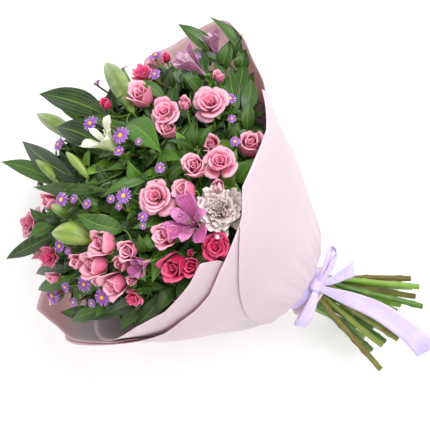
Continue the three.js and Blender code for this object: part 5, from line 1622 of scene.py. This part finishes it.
# ---- ribbon and twine
@dataclass
class RibbonWork:
    """The satin ribbon: a band round the paper, a knot, two loops and two tails.

    A loop or tail runs through stations of s, side, n, width and the turn of its across way.
    """

    wardrobe: Wardrobe
    band_inner: float = 31.0
    band_width: float = 13.0
    band_flat: float = 0.0145
    thick: float = 0.35
    columns: int = 9
    rows_each: int = 12
    slack: float = 1.02
    least_width: float = 0.0105
    knot: tuple[float, float, float, float] = (-2.0, 11.0, 38.7, 8.5)
    parts: tuple = (
        ("upper_loop", ((-2, 12, 40, 6, 0), (4, 32, 45, 7, 10), (11, 50, 49, 8, 20), (15, 62, 50, 7.5, 40),
                        (9, 60, 56, 7, 60), (2, 40, 52, 7, 20), (-2, 14, 43.5, 6, 0))),
        ("lower_loop", ((-3, 8, 41, 7, 0), (-8, -12, 45, 13, 0), (-12, -30, 43, 17, 0), (-14, -43, 34, 15, 0),
                        (-11, -35, 36.5, 14, 0), (-8, -20, 41.5, 12, 0), (-4, 6, 38.5, 7, 0))),
        ("short_tail", ((-4, 14, 41, 8, 60), (-16, 30, 43, 14, 50), (-28, 46, 38, 22, 40),
                        (-36, 56, 33, 24, 35))),
        ("long_tail", ((-5, 10, 40, 8, 90), (-22, 14, 42, 14, 90), (-50, 20, 43, 21, 90),
                       (-88, 27, 58, 26, 90), (-124, 26, 76, 29, 90), (-150, 22, 82, 31, 90),
                       (-169, 18, 76, 31, 90))),
    )

    def strip(self, stations: Rows) -> tuple[Array, Array]:
        """A ribbon through stations: the curve's points plus u times half the width across it.

        The across way is the wished one less its part along the curve. The strip is creased
        lengthwise near the knot by a cosine of u, and ripples a little along its length.
        """
        rows = self.rows_each * len(stations)
        s, side, n, wide, turn = flowing(np.array(stations, dtype=float), rows).T
        points = BOUQUET.place(s, -side, n)
        a = np.radians(turn)[:, None]
        wish = BOUQUET.along * np.cos(a) + BOUQUET.lift * np.sin(a) * 0.5 - BOUQUET.side * np.sin(a)
        across, through = square_to(unit(np.gradient(points, axis=0)), wish)
        u, v = np.linspace(-1.0, 1.0, self.columns)[None, :], evenly(rows)[:, None]
        narrow = np.clip((14.0 - wide) / 8.0, 0, 1)[:, None]
        crease = (0.8 + 2.0 * narrow) * np.cos(2.5 * np.pi * u) * (0.35 + narrow)
        ripple = 0.9 * np.sin(9.0 * v + 1.5 * u) * np.sin(np.pi * v)
        grid = (points[:, None] + across[:, None] * (u * wide[:, None] / 2)[..., None]
                + through[:, None] * (crease * 0.5 + ripple)[..., None])
        return grid, mapped(u * 0.5 + 0.5, v)

    def build(self) -> None:
        """Makes the loops and the tails, then the knot and the band."""
        for name, stations in self.parts:
            grid, uv = self.strip(stations)
            piece = self._piece("ribbon_" + name, "ribbon_bow", grid, uv)
        self._knot()
        self._band()

    def _piece(self, name: str, node: str, grid: Array, uv: Array, tone: float = 0.5) -> Piece:
        """A sheet of satin in its place."""
        skin = Skin()
        skin.grids(grid[None], uv, tone)
        return skin.build(name, node, "ribbon", [self.wardrobe.satin], self.thick)

    def _knot(self) -> None:
        """The knot: a turned bean whose skin is gathered into folds that run round it."""
        s, side, n, half = self.knot
        t, a = evenly(19)[:, None], round_about(36)
        r = half * (0.32 + 0.72 * np.sin(np.pi * np.clip(t, 0, 1)) ** 0.6)
        r = r * (1 + 0.07 * np.sin(5 * a + 6 * t) + 0.05 * np.sin(11 * a - 9 * t))
        along = s + half * 1.05 * (2 * t - 1)
        grid = BOUQUET.place(along, -side + r * np.cos(a), n + 0.9 * r * np.sin(a))
        skin = Skin()
        skin.tubes(capped(grid[None]), 0.6)
        skin.build("ribbon_knot", "ribbon_bow", "ribbon", [self.wardrobe.satin])

    def _band(self) -> None:
        """The band: the section of a flat hoop with soft lengthwise folds, carried round the axis."""
        a = np.linspace(0.0, FULL_TURN, 97)[:, None]
        u = np.linspace(-1.0, 1.0, 15)
        r = self.band_inner + 0.5 + 0.35 * np.cos(3.0 * np.pi * u + 0.6 * np.sin(2 * a))
        grid = BOUQUET.place(u * self.band_width / 2 + 0.6 * np.sin(a * 2.0), -r * np.sin(a), r * np.cos(a))
        uv = mapped(u * 0.5 + 0.5, a / FULL_TURN)
        piece = self._piece("ribbon_band_satin", "ribbon_band", grid, uv, 0.4)


@dataclass
class TwineWork:
    """Turns of twine round the stems, inside the paper."""

    inner: float = 22.7
    radius: float = 1.0
    turns: int = 3
    strands: float = 60.0

    def build(self, wardrobe: Wardrobe) -> None:
        """Makes the twine: a tube along a flat helix."""
        t = evenly(64 * self.turns)
        a = FULL_TURN * self.turns * t
        r = self.inner + self.radius
        s = (t - 0.5) * 2.0 * self.radius * (self.turns - 1)
        centre = BOUQUET.place(s, -r * np.sin(a), r * np.cos(a))[None]
        skin = Skin()
        skin.tubes(tubes(centre, np.full((1, len(t)), self.radius * 0.98), 8), repeats=self.strands)
        skin.build("twine_turns", "stem_twine", "twine", [wardrobe.twine])


# ---- the filling leaves
@dataclass
class Greens:
    """The leaves that fill the bouquet between its blooms, each with its root on a plant."""

    foot: Array
    tip: Array
    width: Array
    face: Array
    root: Array
    owner: Array

    COUNT = 900
    WIDEST_LEAN = math.radians(112.0)
    FOOT_LIFT = (-62.0, 8.0)
    TIP_LIFT = (-34.0, -5.0)
    SLANT = math.radians(15.0)
    ROOM = (8.0, 5.0)
    LENGTHS = (24.0, 100.0)
    LEAST_HEIGHT = 10.0
    SHARE = (0.3, 0.44)
    WIDEST = 26.0
    PARTS = (0.5, 0.7, 0.85, 1.0)
    BACKWARDS = 40.0
    FOCUS = 150.0

    @classmethod
    def spread_over(cls, joints: list[Array], heads: list[Head], rng: Random) -> Greens:
        """Spreads leaves evenly under the dome of heads.

        The feet follow a golden spiral over the dome: the cosine of the lean falls evenly and the
        turn steps by the golden angle. A tip is a random slant away from its foot and nearer to the
        dome's surface. Both are drawn in where the paper is, and a leaf that would pass through a
        head is left out. Each hangs on the nearest place of a stem.

        Args:
            joints: for each plant, the places of its stems that can carry leaves.
            heads: all heads, settled.
            rng: the source of slants and sizes.

        Returns:
            The leaves, with the index of the plant that each grows on.
        """
        k = np.arange(cls.COUNT) + 0.5
        lean = np.arccos(1 - (1 - math.cos(cls.WIDEST_LEAN)) * k / cls.COUNT)
        turn = k * GOLDEN_TURN
        slant = rng.normal(0.0, cls.SLANT, (2, cls.COUNT))
        low, scatter = cls.FOOT_LIFT
        foot = BOUQUET.dome_point(turn, lean, low + rng.normal(0.0, scatter, cls.COUNT))
        far_turn = turn + slant[0] / np.maximum(np.sin(lean), 0.3)
        tip = BOUQUET.dome_point(far_turn, lean + slant[1], rng.uniform(*cls.TIP_LIFT, cls.COUNT))
        foot, tip = (cls._inside(point, room) for point, room in zip((foot, tip), cls.ROOM))
        length = length_of(tip - foot)
        keep = (length > cls.LENGTHS[0]) & (length < cls.LENGTHS[1])
        keep &= np.minimum(tip[:, 2], foot[:, 2]) > cls.LEAST_HEIGHT
        centres = np.array([head.centre + head.way * head.radius * 0.1 for head in heads])
        radii = np.array([head.radius for head in heads])
        for part in cls.PARTS:
            at = foot + (tip - foot) * part
            keep &= (length_of(at[:, None] - centres) > radii * 0.95).all(axis=1)
        foot, tip, length = foot[keep], tip[keep], length[keep]
        every = np.concatenate(joints)
        owner = np.repeat(np.arange(len(joints)), [len(places) for places in joints])
        step = foot[:, None] - every
        back = np.einsum("nmk,nk->nm", step, unit(tip - foot)) < 0
        near = np.argmin(length_of(step) + cls.BACKWARDS * back, axis=1)
        face = unit(unit(foot - BOUQUET.place(cls.FOCUS, 0.0, 0.0)) + 0.35 * UP)
        width = np.minimum(length * rng.uniform(*cls.SHARE, len(length)), cls.WIDEST)
        return cls(foot, tip, width, face, every[near], owner[near])

    @staticmethod
    def _inside(point: Array, room: float) -> Array:
        """Draws points towards the axis until they have some room inside the paper."""
        s, y, n = BOUQUET.measure(point).T
        angle = np.arctan2(-y, n)
        most = PAPER.radius(s, angle, 0) - PAPER.pulled(s, np.degrees(angle), False) - room
        part = np.minimum(1.0, most / np.maximum(np.hypot(y, n), 1e-6))
        return BOUQUET.place(s, y * part, n * part)


# ---- the planting
@dataclass
class Planting:
    """Builds every plant: its stem, its leaves, its small heads and its loose heads."""

    wardrobe: Wardrobe
    stem_stations: int = 34
    cut_stations: int = 44
    wander: float = 0.9
    knots: int = 5
    knot_swell: float = 0.26
    branch_stations: int = 20
    stem_sides: int = 10
    branch_sides: int = 6
    joint_stations: int = 30
    leaf_wall: float = 0.5
    petal_wall: float = 0.35
    small_petal_wall: float = 0.3
    long_arch: float = 7.0
    small_arch: float = 5.0
    stalk: float = 0.9
    small_stalk: float = 0.7
    seed: int = 20

    SLOTS = {"pale": "pale_petal", "hot": "hot_petal", "carnation": "hot_petal",
             "alstroemeria": "mauve_petal", "cream": "cream_petal", "ruffled": "cream_petal"}
    LONG_LEAVED = ("lily", "alstroemeria", "carnation", "ruffled")
    KINDS = (0.0, 0.34, 0.78, 1.0)

    def build(self) -> None:
        """Lays the stems, then dresses plant by plant."""
        grown = PLANTS
        heads = [head for plant in grown for head in plant.heads]
        for head in heads:
            head.settle()
        midribs = [(foot, tip, index) for index, plant in enumerate(grown)
                   for foot, tip, _, _ in plant.placed(plant.leaves)]
        work = StemWork()
        chains = work.lay(grown)
        work.bend(chains, midribs)
        own = [[chain for chain in chains if chain.plant == index] for index in range(len(grown))]
        joints = [np.concatenate([work.curve(chain, self.joint_stations)[2 if chain.branch else 12:]
                                  for chain in mine]) for mine in own]
        greens = Greens.spread_over(joints, heads, np.random.default_rng(self.seed - 1))
        for index, plant in enumerate(grown):
            rng = np.random.default_rng(self.seed + index)
            self._stems(plant, own[index], work, rng)
            self._leaves(plant, joints[index], greens, greens.owner == index, rng)
            self._heads(plant, rng)
            count = len(plant.leaves) + len(plant.tucked)
            log.info("%s: %d heads, %d large leaves", plant.name, len(plant.heads), count)

    def _stems(self, plant: Plant, chains: list[Chain], work: StemWork, rng: Random) -> None:
        """The stem with its knobbly nodes and cut end, and the side branches; chains[0] is the stem."""
        skin, sides = Skin(), self.stem_sides
        last = len(chains[0].nodes) - 1.0
        at = np.concatenate([np.linspace(0.0, 1.0, self.cut_stations, endpoint=False),
                             np.linspace(1.0, last, self.stem_stations)])
        main = work.curve(chains[0], len(at), at)
        thick = work.stem_width + (work.top_width - work.stem_width) * smoothstep(at / last, 0.4, 1.0)
        thick = thick * (1.0 + 0.26 * (1.0 - smoothstep(at, 0.3, 0.85)))
        phase = rng.random(2) * PHASES
        below = np.sin(np.pi * np.clip(at, 0.0, 1.0)) * self.wander
        main = main + below[:, None] * (np.sin(9.0 * at + phase[0])[:, None] * BOUQUET.side
                                        + np.sin(7.0 * at + phase[1])[:, None] * BOUQUET.lift)
        knots = 0.06 + 0.2 * np.arange(self.knots) + 0.12 * rng.random(self.knots)
        swell = self.knot_swell * np.exp(-(((at[:, None] - knots) / 0.02) ** 2)).sum(axis=1)
        skin.tubes(tubes(main[None], (thick / 2 * (1 + swell))[None], sides), rng.random())
        way = unit(main[1] - main[0])
        ends = np.stack([main[0] - way * 0.25, main[0] + way * 0.4])[None]
        skin.tubes(tubes(ends, np.full((1, 2), thick[0] / 2 * 1.01), sides), rng.random(), 1)
        if len(chains) > 1:
            runs = np.stack([work.curve(chain, self.branch_stations) for chain in chains[1:]])
            narrow = work.branch_width / 2 * np.linspace(1.0, 0.8, self.branch_stations)
            grid = tubes(runs, np.broadcast_to(narrow, runs.shape[:2]), self.branch_sides)
            skin.tubes(grid, rng.random(len(runs)))
        green = self.wardrobe.wood if plant.woody else self.wardrobe.stem
        skin.build(plant.name + "_wood", plant.name, "foliage", [green, self.wardrobe.cut])

    def _leaves(self, plant: Plant, joints: Array, greens: Greens, mine: Array, rng: Random) -> None:
        """The large leaves of the picture with their stalks, and the greens that are this plant's."""
        skin = Skin()
        placed = plant.placed((*plant.leaves, *plant.tucked))
        if placed:
            foot, tip, width, face = (np.array(column) for column in zip(*placed))
            grid, uv, tone = LONG_LEAF.grids(foot, tip, width, face, self.long_arch, rng)
            skin.grids(grid, uv, tone, 0 if plant.name.startswith(self.LONG_LEAVED) else 1)
            self._stalks(skin, joints, foot, unit(tip - foot))
        self._fill(skin, greens, mine, rng)
        w = self.wardrobe
        looks = [w.blade, w.leaflet, w.fresh, w.stem]
        skin.build(plant.name + "_leaves", plant.name, "foliage", looks, self.leaf_wall)

    def _stalks(self, skin: Skin, joints: Array, foot: Array, way: Array) -> None:
        """Stalks from the nearest place of the stems, of those behind each leaf's foot, to the foot."""
        step = foot[:, None] - joints
        ahead = np.einsum("nmk,nk->nm", unit(step), way)
        far = length_of(step) + np.where(ahead > 0.1, 0.0, 200.0)
        root = joints[np.argmin(far, axis=1)]
        t = evenly(8)[None, :, None]
        bow = foot - way * np.linalg.norm(foot - root, axis=-1, keepdims=True) * 0.4
        run = (1 - t) ** 2 * root[:, None] + 2 * t * (1 - t) * bow[:, None] + t**2 * (foot + way)[:, None]
        skin.tubes(tubes(run, np.full(run.shape[:2], self.stalk), 5), finish=3)

    def _fill(self, skin: Skin, greens: Greens, mine: Array, rng: Random) -> None:
        """This plant's share of the filling leaves, in three kinds, with their stalks."""
        kinds = rng.random(len(mine))
        for finish, (low, high) in enumerate(zip(self.KINDS, self.KINDS[1:])):
            some = mine & (kinds >= low) & (kinds < high)
            if some.any():
                chosen = (part[some] for part in (greens.foot, greens.tip, greens.width, greens.face))
                skin.grids(*SMALL_LEAF.grids(*chosen, self.small_arch, rng), finish)
        if mine.any():
            foot, tip, root = (part[mine][:, None] for part in (greens.foot, greens.tip, greens.root))
            t = evenly(4)[None, :, None]
            run = root * (1 - t) + (foot + (tip - foot) * 0.03) * t
            skin.tubes(tubes(run, np.full(run.shape[:2], self.small_stalk), 4), finish=3)

    def _heads(self, plant: Plant, rng: Random) -> None:
        """Loose heads as pieces of their own, and the small ones of a spray as one piece."""
        maker = HeadMaker(self.wardrobe)
        skin, materials = Skin(), []
        for head in plant.heads:
            finishes = maker.finishes(head, plant.hot)
            if head.node:
                own = Skin()
                maker.add(own, head, rng)
                slot = self.SLOTS[head.node.split("_")[0]]
                own.build(head.node + "_petals", head.node, slot, finishes, self.petal_wall)
                continue
            if finishes[0] not in materials:
                materials.extend(finishes)
            maker.add(skin, head, rng, materials.index(finishes[0]))
        if skin.count:
            slot = "hot_petal" if plant.hot else "mauve_petal" if "aster" in plant.name else "pale_petal"
            skin.build(plant.name + "_blooms", plant.name, slot, materials, self.small_petal_wall)


# ---- studio
@dataclass
class Studio:
    """The camera straight above, the pale floor and the soft lights, in metres."""

    sensor: float = 36.0
    picture: float = 430.0
    far: float = 50.0
    floor_half: float = 6.0
    floor_grey: float = 0.93
    floor_glow: float = 0.16
    world: float = 0.40
    aim: tuple[float, float, float] = (0.0, 0.0, 0.15)
    lamps: tuple = (("key", (0.1, -1.1, 1.9), 1.5, 47.0), ("fill", (-0.9, 1.1, 1.7), 1.8, 21.0),
                    ("back", (1.5, 0.6, 1.5), 1.4, 9.0))

    def build(self) -> None:
        """Makes the camera, the floor and the lights."""
        scene = bpy.context.scene
        data = bpy.data.cameras.new("overhead")
        data.sensor_fit = "HORIZONTAL"
        data.sensor_width = self.sensor
        data.lens = self.sensor * BOUQUET.focal / self.picture
        data.clip_end = self.far
        turn = Matrix([list(BOUQUET.right), list(BOUQUET.upward), list(UP)]).transposed()
        scene.camera = self._add("overhead", data)
        scene.camera.matrix_world = Matrix.Translation(Vector(BOUQUET.eye * MM + OFFSET)) @ turn.to_4x4()
        self._floor()
        for lamp in self.lamps:
            self._light(*lamp)
        scene.world = bpy.data.worlds.new("studio")
        scene.world.use_nodes = True
        light = scene.world.node_tree.nodes["Background"].inputs
        light["Color"].default_value = (1.0, 1.0, 1.0, 1.0)
        light["Strength"].default_value = self.world
        scene.view_settings.view_transform = "Standard"

    @staticmethod
    def _add(name: str, data: bpy.types.ID) -> Piece:
        """An object of the scene."""
        made = bpy.data.objects.new(name, data)
        bpy.context.scene.collection.objects.link(made)
        return made

    def _floor(self) -> None:
        """A wide pale floor at the table's height."""
        half = self.floor_half
        mesh = bpy.data.meshes.new("floor")
        corners = [(-half, -half, 0), (half, -half, 0), (half, half, 0), (-half, half, 0)]
        mesh.from_pydata(corners, [], [(0, 1, 2, 3)])
        material = bpy.data.materials.new("pale floor")
        material.use_nodes = True
        shader = material.node_tree.nodes["Principled BSDF"].inputs
        shader["Base Color"].default_value = (*[self.floor_grey] * 3, 1.0)
        shader["Roughness"].default_value = 0.9
        shader["Emission Color"].default_value = (1.0, 1.0, 1.0, 1.0)
        shader["Emission Strength"].default_value = self.floor_glow
        mesh.materials.append(material)
        self._add("floor", mesh)

    def _light(self, name: str, place: tuple[float, float, float], size: float, power: float) -> None:
        """A square soft light at a place, aimed at the bouquet's middle."""
        data = bpy.data.lights.new(name, "AREA")
        data.size = size
        data.energy = power
        aim = (Vector(self.aim) - Vector(place)).to_track_quat("-Z", "Y").to_matrix().to_4x4()
        self._add(name, data).matrix_world = Matrix.Translation(Vector(place)) @ aim


def main() -> None:
    """Builds the bouquet piece by piece."""
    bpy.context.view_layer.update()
    wardrobe = Wardrobe()
    for sheet in paper_sheets():
        sheet.build(wardrobe)
    RibbonWork(wardrobe).build()
    TwineWork().build(wardrobe)
    Planting(wardrobe).build()
    Studio().build()
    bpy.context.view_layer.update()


if __name__ == "__main__":
    main()
